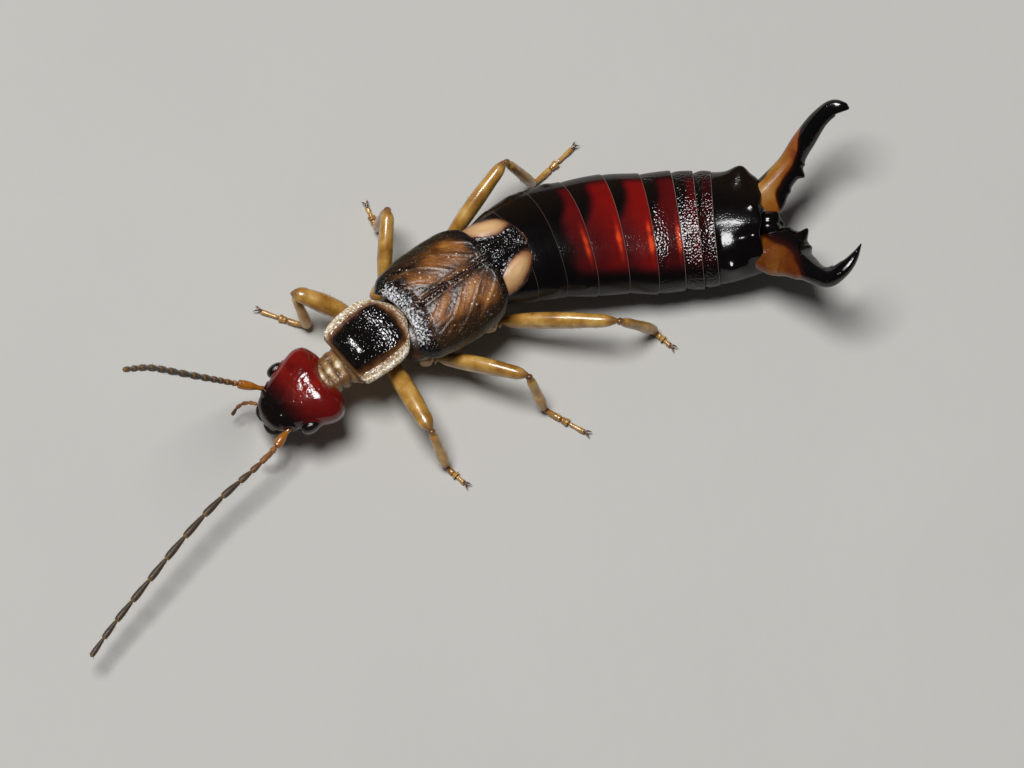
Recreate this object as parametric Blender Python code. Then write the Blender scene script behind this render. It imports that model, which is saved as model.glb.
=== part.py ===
# A male two-spotted earwig at life size, standing on its six feet.
# Sizes are in millimetres and are turned into metres where a mesh is made.
# The animal faces -X. Its right side is +Y, and the floor is at Z = 0.
# A body frame's own x runs to the rear, its y to the animal's right and its z up.

import math

import bmesh
import bpy
from mathutils import Vector

MM = 0.001
GAP = 0.05  # left between pieces that touch
STANCE = (0.867, 3.736, 0.0)  # moves the posed animal over the middle of its own footprint

# Head: its frame stands in the middle of the capsule
HEAD_AT = (-4.86, -4.02, 1.30)
HEAD_TURN = (0.0, -10.0, 34.0)  # roll, pitch and heading in degrees
HEAD_SIDES = 18
EYE_RADII = (0.24, 0.15, 0.19)
EYE_AT = (-0.06, 0.74, 0.06)

# Pronotum and the wing covers
PRONOTUM_AT = (-3.23, -2.76, 0.0)
PRONOTUM_HEADING = 40.0
PRONOTUM_TOP = 2.02
PRONOTUM_THICK = 0.57
PRONOTUM_ENDS = (-0.80, 0.68)
PRONOTUM_BOWS = (-0.04, 0.32)  # how far the middle of each end stands past its corners
PRONOTUM_SIDE_DROP = 0.20
PRONOTUM_END_DROP = 0.12
WINGS_AT = (-2.43, -2.31, 0.0)
WINGS_HEADING = 36.0
WINGS_TOP = 2.22
WINGS_HALF_WIDTH = 1.27
WINGS_SIDE_DROP = 0.34
WINGS_FRONT_DROP = 0.10  # fades out to the rear over WINGS_FRONT_FADE
WINGS_FRONT_FADE = 0.50
TEGMEN_LENGTH = 2.26
TEGMEN_SHOULDER = 0.24  # how far the shoulders reach forward of the suture
TEGMEN_BOW = 0.06  # how far the rear edge stands out at its middle
TEGMEN_THICK = 0.55
SCALE_SET_BACK = 0.12  # behind the end of the wing cover
SCALE_LENGTH = 0.92
SCALE_HALF_WIDTH = 0.93
SCALE_BOW = 0.12
SCALE_SINK = 0.03  # below the top of the wing covers
SCALE_REAR_DROP = 0.14
SCALE_SIDE_DROP = 0.30
SCALE_THICK = 0.50

# Abdomen rings from the waist to the tail:
# place of the centre, heading, slope down to the rear, half width, height above and below
ABDOMEN_RINGS = (
    ((-0.64, -1.03, 1.20), 34.0, 14.0, 0.88, 0.42, 0.52),
    ((0.05, -0.64, 1.32), 27.0, 15.0, 1.16, 0.62, 0.62),
    ((0.77, -0.36, 1.32), 21.0, 12.0, 1.29, 0.74, 0.70),
    ((1.55, -0.21, 1.24), 17.0, 8.0, 1.36, 0.80, 0.74),
    ((2.36, -0.06, 1.17), 12.5, 5.0, 1.40, 0.84, 0.76),
    ((3.11, -0.03, 1.11), 9.5, 3.0, 1.41, 0.85, 0.76),
    ((3.78, 0.07, 1.08), 7.5, 1.0, 1.40, 0.84, 0.74),
    ((4.27, 0.09, 1.08), 5.5, -2.0, 1.37, 0.81, 0.72),
    ((4.67, 0.12, 1.11), 4.0, -4.0, 1.32, 0.78, 0.68),
    ((5.74, 0.06, 1.24), 1.5, -7.0, 1.03, 0.60, 0.56),
)
ABDOMEN_SIDES = 18
ABDOMEN_NECK = 0.97  # how much smaller a ring starts, under the lip of the one before
ABDOMEN_LIP = 0.035
TUBERCLES = {"right": (5.24, 1.22, 1.68), "left": (5.12, -0.98, 1.68)}
TUBERCLE_RADII = (0.24, 0.20, 0.20)
PYGIDIUM_AT = (5.86, 0.14, 1.36)
PYGIDIUM_RADII = (0.26, 0.22, 0.26)

# Forceps: the middle line of each branch from its root to its tip
FORCEPS_LINES = {
    "right": (
        (5.62, 0.72, 1.34),
        (6.32, 1.39, 1.70),
        (6.68, 1.90, 2.10),
        (7.00, 2.30, 2.48),
        (7.32, 2.51, 2.73),
        (7.68, 2.41, 2.83),
    ),
    "left": (
        (5.52, -0.52, 1.30),
        (6.32, -0.70, 1.65),
        (6.73, -1.09, 2.00),
        (7.19, -1.55, 2.43),
        (7.59, -1.41, 2.72),
        (7.92, -0.90, 2.86),
    ),
}
FORCEPS_SPANS = (0.50, 0.40, 0.32, 0.24, 0.19, 0.05)  # half widths across the bite
FORCEPS_DEPTHS = (0.34, 0.30, 0.27, 0.22, 0.17, 0.05)  # half thicknesses
TOOTH_RADIUS = 0.16
# The root and the tip of the base tooth and of the middle tooth on each branch
TOOTH_LINES = {
    "right": (
        ((6.20, 0.98, 1.66), (6.36, 0.76, 1.66)),
        ((6.54, 1.50, 1.96), (6.70, 1.10, 1.92)),
    ),
    "left": (
        ((6.14, -0.42, 1.60), (6.30, -0.10, 1.62)),
        ((6.62, -0.76, 1.90), (6.75, -0.28, 1.90)),
    ),
}

# Legs: where each leaves the body, its knee, its ankle and its toe
LEG_POINTS = {
    "fore_left": ((-2.82, -2.98), (-1.84, -4.84, 1.35), (-1.51, -5.27), (-0.98, -5.76)),
    "mid_left": ((-1.70, -2.90), (0.37, -3.56, 1.45), (0.72, -3.89), (1.78, -4.50)),
    "hind_left": ((-0.27, -2.03), (2.41, -2.26, 1.50), (3.26, -2.00), (3.73, -2.43)),
    "fore_right": ((-3.64, -1.92), (-4.98, -1.55, 1.50), (-4.68, -1.90), (-5.89, -1.44)),
    "mid_right": ((-2.94, -1.14), (-2.83, 0.42, 1.60), (-3.09, 0.49), (-3.39, 1.19)),
    "hind_right": ((-1.53, -0.17), (-0.16, 1.56, 1.70), (0.47, 1.58), (1.49, 2.61)),
}
HIP_HEIGHT = 0.85
ANKLE_HEIGHT = 0.34
SOLE_LINE = 0.22  # height of the middle line of a foot, whose underside is cut flat at 0
FEMUR_RADIUS = 0.29
TIBIA_RADIUS = 0.25
TARSUS_RADIUS = 0.25

# Antennae: the socket end, the end of the scape and the points that the flagellum follows
ANTENNA_LINES = {
    "left": (
        (-5.07, -4.72, 1.20),
        (-5.36, -5.20, 1.20),
        (-5.78, -5.67, 1.20),
        (-6.64, -6.48, 1.20),
        (-7.48, -7.45, 1.20),
        (-8.24, -8.42, 1.10),
        (-8.95, -9.32, 1.00),
        (-9.49, -10.10, 0.90),
    ),
    "right": (
        (-5.60, -3.80, 1.28),
        (-6.25, -3.78, 1.50),
        (-6.62, -3.92, 2.10),
        (-7.08, -4.19, 3.10),
        (-7.64, -4.54, 4.40),
        (-8.10, -4.89, 5.60),
        (-8.60, -5.41, 6.90),
    ),
}
ANTENNA_RADIUS = 0.25

COLOURS = {
    "red_cuticle": ((0.130, 0.006, 0.008, 1.0), 0.16),
    "black_cuticle": ((0.012, 0.008, 0.008, 1.0), 0.18),
    "crimson_cuticle": ((0.100, 0.008, 0.008, 1.0), 0.20),
    "amber_cuticle": ((0.560, 0.290, 0.080, 1.0), 0.30),
    "brown_cuticle": ((0.110, 0.060, 0.030, 1.0), 0.40),
    "bronze_cover": ((0.200, 0.110, 0.050, 1.0), 0.35),
    "pale_scale": ((0.620, 0.400, 0.240, 1.0), 0.40),
    "membrane": ((0.360, 0.230, 0.120, 1.0), 0.45),
    "eye": ((0.006, 0.005, 0.005, 1.0), 0.10),
}


def material(name):
    """One Principled material for each kind of cuticle, made the first time it is asked for."""
    found = bpy.data.materials.get(name)
    if found:
        return found
    colour, roughness = COLOURS[name]
    made = bpy.data.materials.new(name)
    made.use_nodes = True
    shader = made.node_tree.nodes["Principled BSDF"]
    shader.inputs["Base Color"].default_value = colour
    shader.inputs["Roughness"].default_value = roughness
    shader.inputs["Metallic"].default_value = 0.0
    return made


def empty(name, at, turn=(0.0, 0.0, 0.0), parent=None):
    """A frame that pieces are placed in: roll about x, pitch about y, heading about z."""
    frame = bpy.data.objects.new(name, None)
    frame.location = Vector(at) * MM
    frame.rotation_euler = [math.radians(angle) for angle in turn]
    frame.parent = parent
    bpy.context.collection.objects.link(frame)
    return frame


def piece(name, mesh_edit, parent, look, origin=(0.0, 0.0, 0.0)):
    """An object from an edited mesh in millimetres, with its own origin on the part."""
    for vert in mesh_edit.verts:
        vert.co = (vert.co - Vector(origin)) * MM
    mesh = bpy.data.meshes.new(name)
    mesh_edit.to_mesh(mesh)
    mesh_edit.free()
    mesh.materials.append(material(look))
    mesh.shade_smooth()
    mesh.set_sharp_from_angle(angle=math.radians(40))
    made = bpy.data.objects.new(name, mesh)
    made.location = Vector(origin) * MM
    made.parent = parent
    bpy.context.collection.objects.link(made)
    return made


def bridge(rings):
    """A closed skin through rings of the same number of points, with both ends filled."""
    skin = bmesh.new()
    loops = []
    for ring in rings:
        verts = [skin.verts.new(point) for point in ring]
        loops.append([skin.edges.new((a, b)) for a, b in zip(verts, verts[1:] + verts[:1])])
    for front, rear in zip(loops, loops[1:]):
        bmesh.ops.bridge_loops(skin, edges=front + rear)
    for edges in (loops[0], loops[-1]):
        bmesh.ops.contextual_create(skin, geom=edges)
    bmesh.ops.recalc_face_normals(skin, faces=skin.faces)
    return skin


def oval(sides, half_width, above, below, power=2.0):
    """Points of a rounded section as (across, up), starting at the animal's right."""
    points = []
    for step in range(sides):
        angle = 2 * math.pi * step / sides
        across, up = math.cos(angle), math.sin(angle)
        across = half_width * math.copysign(abs(across) ** (2 / power), across)
        height = above if up > 0 else below
        up = height * math.copysign(abs(up) ** (2 / power), up)
        points.append((across, up))
    return points


def between(values, at):
    """A smooth curve through a row of numbers or vectors, read at a place from 0 to its length."""
    last = len(values) - 1
    index = min(int(at), last - 1)
    part = at - index
    here, after = values[index], values[index + 1]
    before = values[index - 1] if index else here * 2 - after
    beyond = values[index + 2] if index + 2 <= last else after * 2 - here
    return 0.5 * (
        here * 2
        + (after - before) * part
        + (before * 2 - here * 5 + after * 4 - beyond) * part ** 2
        + (here * 3 - before - after * 3 + beyond) * part ** 3
    )


def curve_points(knots, count):
    """Evenly spread points on the smooth curve through the knots, both ends with them."""
    vectors = [Vector(knot) for knot in knots]
    return [between(vectors, (len(knots) - 1) * step / (count - 1)) for step in range(count)]


def tube(points, half_widths, half_depths, sides, floor=None):
    """A round or oval limb along points, with its ends closed and its underside flat on a floor."""
    rings = []
    up = Vector((0.0, 0.0, 1.0))
    for index, point in enumerate(points):
        ahead = points[min(index + 1, len(points) - 1)]
        behind = points[max(index - 1, 0)]
        along = (ahead - behind).normalized()
        across = along.cross(up)
        if across.length < 0.2:
            across = Vector((0.0, 1.0, 0.0))
        across.normalize()
        lift = across.cross(along)
        ring = []
        for side, rise in oval(sides, half_widths[index], half_depths[index], half_depths[index]):
            corner = point + across * side + lift * rise
            if floor is not None:
                corner.z = max(corner.z, floor)
            ring.append(corner)
        rings.append(ring)
    return bridge(rings)


def grown(neighbour):
    """A hidden copy of a neighbour, larger by the gap all round, to cut with."""
    name = "cutter_" + neighbour.name
    cutter = bpy.data.objects.get(name)
    if cutter is None:
        cutter = bpy.data.objects.new(name, neighbour.data)
        cutter.parent = neighbour.parent
        cutter.location = neighbour.location
        cutter.rotation_euler = neighbour.rotation_euler
        cutter.hide_render = True
        cutter.display_type = "WIRE"
        bpy.context.collection.objects.link(cutter)
        grow = cutter.modifiers.new("grow", "DISPLACE")
        grow.strength = GAP * MM
        grow.mid_level = 0.0
    return cutter


def carve(body, *neighbours):
    """Cuts the neighbours out of a piece, with the gap between them."""
    for neighbour in neighbours:
        cut = body.modifiers.new("clear_" + neighbour.name, "BOOLEAN")
        cut.operation = "DIFFERENCE"
        cut.solver = "EXACT"
        cut.object = grown(neighbour)


def weld_on(body, extra):
    """Joins a knob or a tooth to the piece that it grows from."""
    extra.hide_render = True
    extra.display_type = "WIRE"
    join = body.modifiers.new("join_" + extra.name, "BOOLEAN")
    join.operation = "UNION"
    join.solver = "EXACT"
    join.object = extra


def ball(name, parent, look, at, radii, segments=12, rings=8):
    """An ellipsoid at a place in its parent's frame."""
    skin = bmesh.new()
    bmesh.ops.create_uvsphere(skin, u_segments=segments, v_segments=rings, radius=1.0)
    bmesh.ops.scale(skin, verts=skin.verts, vec=radii)
    bmesh.ops.translate(skin, verts=skin.verts, vec=at)
    return piece(name, skin, parent, look, at)


def make_head(frame):
    """The capsule: narrow at the mouth, heart shaped behind, with a notched rear edge."""
    # place along the head, half width, height above, depth below, push of the middle to the rear
    stations = (
        (-0.98, 0.24, 0.06, 0.20, -0.05),
        (-0.90, 0.38, 0.16, 0.30, -0.05),
        (-0.66, 0.50, 0.28, 0.38, -0.03),
        (-0.36, 0.64, 0.40, 0.43, 0.0),
        (-0.05, 0.76, 0.47, 0.46, 0.0),
        (0.25, 0.88, 0.51, 0.47, 0.0),
        (0.48, 0.92, 0.50, 0.46, -0.02),
        (0.70, 0.84, 0.42, 0.42, -0.09),
        (0.85, 0.60, 0.26, 0.30, -0.17),
    )
    rings = []
    for x, half_width, above, below, push in stations:
        ring = []
        for across, up in oval(HEAD_SIDES, half_width, above, below, 2.2):
            inward = 1 - (across / half_width) ** 2
            ring.append((x + push * inward, across, up))
        rings.append(ring)
    return piece("head", bridge(rings), frame, "red_cuticle")


def make_eyes(frame, head):
    """Small oval eyes, each in a socket on the side of the head."""
    for side, sign in (("left", -1), ("right", 1)):
        at = (EYE_AT[0], EYE_AT[1] * sign, EYE_AT[2])
        eye = ball(f"eye_{side}", frame, "eye", at, EYE_RADII)
        carve(head, eye)


def make_mouthparts(frame, head):
    """The upper lip and the closed jaws, which stand out below the front of the head."""
    rings = []
    for x, half_width, above, below in (
        (-1.22, 0.14, 0.02, 0.14),
        (-1.12, 0.26, 0.08, 0.22),
        (-0.92, 0.36, 0.12, 0.28),
        (-0.55, 0.40, 0.16, 0.30),
    ):
        rings.append([(x, across, up - 0.16) for across, up in oval(12, half_width, above, below, 2.4)])
    mouth = piece("mouthparts", bridge(rings), frame, "brown_cuticle", (-0.9, 0.0, -0.16))
    carve(mouth, head)
    return mouth


def make_antennae(stance, *clear_of):
    """Each antenna is a thick first joint and a long flagellum."""
    scapes = []
    for side, line in ANTENNA_LINES.items():
        root, bend = Vector(line[0]), Vector(line[1])
        scape_points = [root.lerp(bend, part) for part in (0.0, 0.3, 0.7, 1.0)]
        widths = [ANTENNA_RADIUS * part for part in (0.8, 1.0, 1.0, 0.9)]
        scape = piece(
            f"antenna_{side}_scape",
            tube(scape_points, widths, widths, 8),
            stance, "amber_cuticle", line[0],
        )
        carve(scape, *clear_of)
        scapes.append(scape)
        points = curve_points(line[1:], 12)
        widths = [ANTENNA_RADIUS] * len(points)
        flagellum = piece(
            f"antenna_{side}_flagellum",
            tube(points, widths, widths, 8),
            stance, "brown_cuticle", line[1],
        )
        carve(flagellum, scape)
    return scapes


def make_palps(frame, *clear_of):
    """The longer pair of mouth feelers."""
    for side, sign in (("left", -1), ("right", 1)):
        points = curve_points(
            [(-0.92, 0.42 * sign, -0.34), (-1.20, 0.66 * sign, -0.42), (-1.52, 0.60 * sign, -0.56)], 5
        )
        widths = (0.16, 0.20, 0.20, 0.20, 0.16)
        palp = piece(
            f"palp_{side}", tube(points, widths, widths, 8), frame, "brown_cuticle", points[0]
        )
        carve(palp, *clear_of)


def make_neck(stance, *clear_of):
    """Soft membrane between the head and the first ring of the thorax."""
    line = ((-4.42, -3.74, 1.32), (-4.10, -3.50, 1.36), (-3.66, -3.18, 1.34))
    points = curve_points(line, 5)
    half_widths = (0.34, 0.40, 0.44, 0.48, 0.50)
    half_depths = (0.30, 0.32, 0.34, 0.36, 0.36)
    neck = piece("neck", tube(points, half_widths, half_depths, 12), stance, "membrane", line[0])
    carve(neck, *clear_of)


def make_prothorax(frame):
    """The first ring of the thorax, under its shield."""
    rings = []
    for x, half_width, above, below in (
        (-0.72, 0.46, 0.22, 0.30),
        (-0.50, 0.58, 0.29, 0.42),
        (0.20, 0.64, 0.32, 0.46),
        (0.62, 0.60, 0.31, 0.44),
    ):
        rings.append([(x, across, up + 1.08) for across, up in oval(14, half_width, above, below, 2.6)])
    return piece("prothorax", bridge(rings), frame, "amber_cuticle", (0.0, 0.0, 1.08))


def make_pronotum(frame):
    """A rounded square shield, arched across, with a bowed rear edge."""
    front, rear = PRONOTUM_ENDS
    bow_front, bow_rear = PRONOTUM_BOWS
    half_widths = (0.58, 0.78, 0.86, 0.89, 0.88, 0.82, 0.60)
    rows = (0.0, 0.08, 0.30, 0.52, 0.74, 0.92, 1.0)
    columns = 8
    skin = bmesh.new()
    grid = []
    for row, half_width in zip(rows, half_widths):
        line = []
        for column in range(columns + 1):
            side = 2 * column / columns - 1
            inward = 1 - side ** 2
            bow = bow_front + (bow_rear - bow_front) * row
            x = front + (rear - front) * row + bow * inward
            drop = PRONOTUM_SIDE_DROP * abs(side) ** 3
            drop += PRONOTUM_END_DROP * abs(2 * row - 1) ** 4
            z = PRONOTUM_TOP - PRONOTUM_THICK - drop
            line.append(skin.verts.new((x, half_width * side, z)))
        grid.append(line)
    fill_plate(skin, grid, PRONOTUM_THICK)
    return piece("pronotum", skin, frame, "black_cuticle")


def fill_plate(skin, grid, thickness):
    """A plate on its underside's rows of points, with its thickness above them."""
    for row, following in zip(grid, grid[1:]):
        for left in range(len(row) - 1):
            skin.faces.new((row[left], following[left], following[left + 1], row[left + 1]))
    raised = bmesh.ops.extrude_face_region(skin, geom=skin.faces[:])
    upper = [item for item in raised["geom"] if isinstance(item, bmesh.types.BMVert)]
    bmesh.ops.translate(skin, verts=upper, vec=(0.0, 0.0, thickness))
    bmesh.ops.recalc_face_normals(skin, faces=skin.faces)


def make_thorax(frame):
    """The two rear rings of the thorax, which carry the wings."""
    rings = []
    for x, half_width, above, below in (
        (-0.34, 0.62, 0.34, 0.40),
        (-0.10, 0.86, 0.42, 0.48),
        (0.60, 1.00, 0.46, 0.52),
        (1.50, 1.02, 0.46, 0.52),
        (2.10, 0.90, 0.42, 0.48),
    ):
        rings.append([(x, across, up + 1.14) for across, up in oval(16, half_width, above, below, 2.6)])
    return piece("thorax", bridge(rings), frame, "brown_cuticle", (0.0, 0.0, 1.14))


def cover_height(x, y):
    """Height of the folded wing covers over the thorax: a low roof that turns down at its sides."""
    front_drop = WINGS_FRONT_DROP * math.exp(-x / WINGS_FRONT_FADE)
    return WINGS_TOP - front_drop - WINGS_SIDE_DROP * (abs(y) / WINGS_HALF_WIDTH) ** 3


def make_wing_cover(side, sign, frame, *clear_of):
    """A short leathery wing cover, straight at the suture and round at the shoulder."""
    half_widths = (0.86, 1.04, 1.20, 1.26, WINGS_HALF_WIDTH, 1.22, 1.06)
    rows = (0.0, 0.07, 0.26, 0.50, 0.74, 0.92, 1.0)
    columns = 5
    skin = bmesh.new()
    grid = []
    for row, half_width in zip(rows, half_widths):
        line = []
        for column in range(columns + 1):
            y = GAP / 2 + (half_width - GAP / 2) * column / columns
            front = -TEGMEN_SHOULDER * min(y / 0.9, 1.0) ** 2
            rear = TEGMEN_LENGTH + TEGMEN_BOW * math.sin(math.pi * y / 1.1)
            x = front + (rear - front) * row
            line.append(skin.verts.new((x, y * sign, cover_height(x, y) - TEGMEN_THICK)))
        grid.append(line)
    fill_plate(skin, grid, TEGMEN_THICK)
    cover = piece(f"tegmen_{side}", skin, frame, "bronze_cover")
    carve(cover, *clear_of)
    return cover


def make_wing_scale(side, sign, frame):
    """The hardened tip of the folded hind wing, which shows behind the wing cover."""
    half_widths = (SCALE_HALF_WIDTH, 0.92, 0.86, 0.70, 0.40)
    rows = (0.0, 0.35, 0.65, 0.88, 1.0)
    columns = 4
    front = TEGMEN_LENGTH + SCALE_SET_BACK
    rear = front + SCALE_LENGTH
    skin = bmesh.new()
    grid = []
    for row, half_width in zip(rows, half_widths):
        line = []
        for column in range(columns + 1):
            y = GAP / 2 + (half_width - GAP / 2) * column / columns
            x = front + (rear - front) * row + SCALE_BOW * row * (1 - (y / half_width) ** 2)
            drop = SCALE_REAR_DROP * row ** 2 + SCALE_SIDE_DROP * (y / SCALE_HALF_WIDTH) ** 3
            z = WINGS_TOP - SCALE_SINK - drop
            line.append(skin.verts.new((x, y * sign, z - SCALE_THICK)))
        grid.append(line)
    fill_plate(skin, grid, SCALE_THICK)
    return piece(f"wing_scale_{side}", skin, frame, "pale_scale")


def abdomen_ring(at, swell=1.0):
    """One section of the abdomen at a place from 0, the waist, to 9, the tail."""
    centre = between([Vector(ring[0]) for ring in ABDOMEN_RINGS], at)
    heading, slope, half_width, above, below = (
        between([float(ring[column]) for ring in ABDOMEN_RINGS], at) for column in range(1, 6)
    )
    heading, slope = math.radians(heading), math.radians(slope)
    across_axis = Vector((-math.sin(heading), math.cos(heading), 0.0))
    lift_axis = Vector(
        (math.cos(heading) * math.sin(slope), math.sin(heading) * math.sin(slope), math.cos(slope))
    )
    return [
        centre + across_axis * across + lift_axis * up
        for across, up in oval(ABDOMEN_SIDES, half_width * swell, above * swell, below * swell, 2.3)
    ]


def abdomen_segment(name, start, end, look, steps, stance):
    """One ring of the abdomen, its rear lip a little proud of the ring behind it."""
    length = (Vector(ABDOMEN_RINGS[end][0]) - Vector(ABDOMEN_RINGS[start][0])).length
    edge = GAP / 2 / length * (end - start)
    rings = []
    for step in range(steps + 1):
        part = step / steps
        at = start + edge + (end - start - 2 * edge) * part
        rings.append(abdomen_ring(at, ABDOMEN_NECK + ABDOMEN_LIP * min(part * 2, 1.0)))
    return piece(name, bridge(rings), stance, look, ABDOMEN_RINGS[start][0])


def make_abdomen(stance, *wing_parts):
    """The waist under the wings, seven rings that show and the long last one."""
    waist = abdomen_segment("abdomen_1_2", 0, 1, "black_cuticle", 2, stance)
    carve(waist, *wing_parts)
    looks = ("black", "black", "crimson", "crimson", "crimson", "crimson", "black")
    for index, look in enumerate(looks):
        name = f"abdomen_{index + 3}"
        ring = abdomen_segment(name, index + 1, index + 2, f"{look}_cuticle", 2, stance)
        if index == 0:
            carve(ring, *wing_parts)
    last = abdomen_segment("abdomen_10", 8, 9, "black_cuticle", 4, stance)
    for side, at in TUBERCLES.items():
        knob = ball(f"tubercle_{side}", stance, "black_cuticle", at, TUBERCLE_RADII, 10, 6)
        weld_on(last, knob)
    return last


def make_forceps(stance, last):
    """Two arched branches that curve in towards each other, with teeth on their inner edges."""
    branches = []
    for side, line in FORCEPS_LINES.items():
        count = 11
        points = curve_points(line, count)
        places = [(len(line) - 1) * step / (count - 1) for step in range(count)]
        spans = [between(FORCEPS_SPANS, place) for place in places]
        depths = [between(FORCEPS_DEPTHS, place) for place in places]
        skin = tube(points, spans, depths, 12)
        branch = piece(f"forceps_{side}", skin, stance, "black_cuticle", line[0])
        carve(branch, last)
        for index, (root, tip) in enumerate(TOOTH_LINES[side]):
            widths = [TOOTH_RADIUS * part for part in (1.0, 0.75, 0.3)]
            skin = tube(curve_points((root, tip), 3), widths, widths, 6)
            weld_on(branch, piece(f"tooth_{side}_{index + 1}", skin, stance, "black_cuticle", root))
        branches.append(branch)
    return branches


def make_pygidium(stance, *clear_of):
    """The blunt plate between the roots of the forceps."""
    knob = ball("pygidium", stance, "black_cuticle", PYGIDIUM_AT, PYGIDIUM_RADII, 10, 8)
    carve(knob, *clear_of)


def limb(name, line, count, radius, taper, parent):
    """One length of a leg along a bent line, its radius tapered point by point."""
    widths = [radius * part for part in taper]
    skin = tube(curve_points(line, count), widths, widths, 8)
    return piece(name, skin, parent, "amber_cuticle", line[0])


def make_leg(name, stance, *clear_of):
    """Femur, tibia and tarsus of one leg, the tarsus flat on the floor."""
    hip_spot, knee, ankle_spot, toe_spot = LEG_POINTS[name]
    hip, knee = Vector((*hip_spot, HIP_HEIGHT)), Vector(knee)
    ankle = Vector((*ankle_spot, ANKLE_HEIGHT))
    heel, toe = Vector((*ankle_spot, SOLE_LINE)), Vector((*toe_spot, SOLE_LINE))
    crest = hip.lerp(knee, 0.5) + Vector((0.0, 0.0, 0.06))
    femur_taper = (0.9, 1.0, 1.0, 0.95, 0.8)
    femur = limb(f"femur_{name}", (hip, crest, knee), 5, FEMUR_RADIUS, femur_taper, stance)
    carve(femur, *clear_of)
    shin = knee.lerp(ankle, 0.55)
    tibia_taper = (0.8, 1.0, 1.0, 0.9)
    tibia = limb(f"tibia_{name}", (knee, shin, ankle), 4, TIBIA_RADIUS, tibia_taper, stance)
    carve(tibia, femur)
    widths = [TARSUS_RADIUS * part for part in (1.0, 1.0, 1.0, 0.9)]
    skin = tube(curve_points((heel, toe), 4), widths, widths, 10, floor=0.0)
    tarsus = piece(f"tarsus_{name}", skin, stance, "amber_cuticle", heel)
    carve(tarsus, tibia)


def main():
    for old in list(bpy.data.objects):
        bpy.data.objects.remove(old)
    stance = empty("stance", STANCE)
    head_frame = empty("head_frame", HEAD_AT, HEAD_TURN, stance)
    pronotum_frame = empty("pronotum_frame", PRONOTUM_AT, (0, 0, PRONOTUM_HEADING), stance)
    wing_frame = empty("wing_frame", WINGS_AT, (0, 0, WINGS_HEADING), stance)

    head = make_head(head_frame)
    make_eyes(head_frame, head)
    mouth = make_mouthparts(head_frame, head)
    scapes = make_antennae(stance, head, mouth)
    make_palps(head_frame, head, mouth, *scapes)

    prothorax = make_prothorax(pronotum_frame)
    pronotum = make_pronotum(pronotum_frame)
    make_neck(stance, head, prothorax, pronotum)

    thorax = make_thorax(wing_frame)
    carve(thorax, prothorax, pronotum)
    covers = [
        make_wing_cover(side, sign, wing_frame, pronotum)
        for side, sign in (("left", -1), ("right", 1))
    ]
    scales = [make_wing_scale(side, sign, wing_frame) for side, sign in (("left", -1), ("right", 1))]

    last = make_abdomen(stance, *scales)
    branches = make_forceps(stance, last)
    make_pygidium(stance, last, *branches)

    for name in LEG_POINTS:
        make_leg(name, stance, prothorax, thorax, pronotum, *covers)


main()
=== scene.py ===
import math

import bmesh
import bpy
import numpy as np
from mathutils import Euler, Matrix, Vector


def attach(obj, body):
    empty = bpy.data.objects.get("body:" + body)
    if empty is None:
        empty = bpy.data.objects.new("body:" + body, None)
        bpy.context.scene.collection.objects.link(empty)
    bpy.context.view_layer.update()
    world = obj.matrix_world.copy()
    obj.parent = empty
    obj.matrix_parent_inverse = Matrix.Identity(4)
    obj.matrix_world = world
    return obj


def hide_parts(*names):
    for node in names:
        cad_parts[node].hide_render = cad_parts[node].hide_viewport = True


# A male two-spotted earwig, still and at life size, in the pose it was seen in.
# Sizes below are millimetres, and newPiece turns them into the frame's metres.
# In a body frame x runs to the rear, y to the animal's right and z up.

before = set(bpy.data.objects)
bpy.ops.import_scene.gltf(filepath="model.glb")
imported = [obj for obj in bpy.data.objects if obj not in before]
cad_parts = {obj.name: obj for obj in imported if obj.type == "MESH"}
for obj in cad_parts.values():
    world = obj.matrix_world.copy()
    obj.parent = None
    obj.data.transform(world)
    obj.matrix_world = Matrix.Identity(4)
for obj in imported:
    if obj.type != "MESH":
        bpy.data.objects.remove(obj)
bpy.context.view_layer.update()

mm = 0.001
stance = np.array((0.867, 3.736, 0.0))  # puts the posed animal over the middle of its footprint
sides = {"left": -1, "right": 1}


# Curves and profiles

def smoothed(places, values, at):  # cubic curve through values, each slope taken from its neighbours
    places, values, at = (np.asarray(row, float) for row in (places, values, at))
    slopes = np.gradient(values, places, axis=0)
    at = np.clip(at, places[0], places[-1])
    i = np.clip(np.searchsorted(places, at, side="right") - 1, 0, len(places) - 2)
    width = places[i + 1] - places[i]
    t = (at - places[i]) / width
    if values.ndim > 1:
        t, width = t[..., None], width[..., None]
    start = values[i] * (2 * t**3 - 3 * t**2 + 1) + width * slopes[i] * (t**3 - 2 * t**2 + t)
    end = values[i + 1] * (3 * t**2 - 2 * t**3) + width * slopes[i + 1] * (t**3 - t**2)
    return start + end


def fade(low, high, x):  # 0 at low, 1 at high, eased at both ends
    t = np.clip((x - low) / (high - low), 0.0, 1.0)
    return t * t * (3 - 2 * t)


def bell(x, middle, width):
    return np.exp(-(((x - middle) / width) ** 2))


def crowded(count, low=0.0, high=1.0):  # places that close up towards both ends
    return low + (high - low) * (1 - np.cos(np.linspace(0, math.pi, count))) / 2


def alongPath(knots, count):
    knots = np.array(knots, float)
    return smoothed(np.arange(len(knots)), knots, np.linspace(0, len(knots) - 1, count))


def nearCurve(x, y, knots, count=60):  # how far each place is from a smooth line, and how far along it, 0 to 1
    line = alongPath(knots, count)
    away = np.hypot(x[..., None] - line[:, 0], y[..., None] - line[:, 1])
    return away.min(-1), away.argmin(-1) / (count - 1)


def superOval(angle, power):  # across and up on a rounded box of half sizes 1
    return [np.sign(wave) * np.abs(wave) ** (2 / power) for wave in (np.cos(angle), np.sin(angle))]


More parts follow.
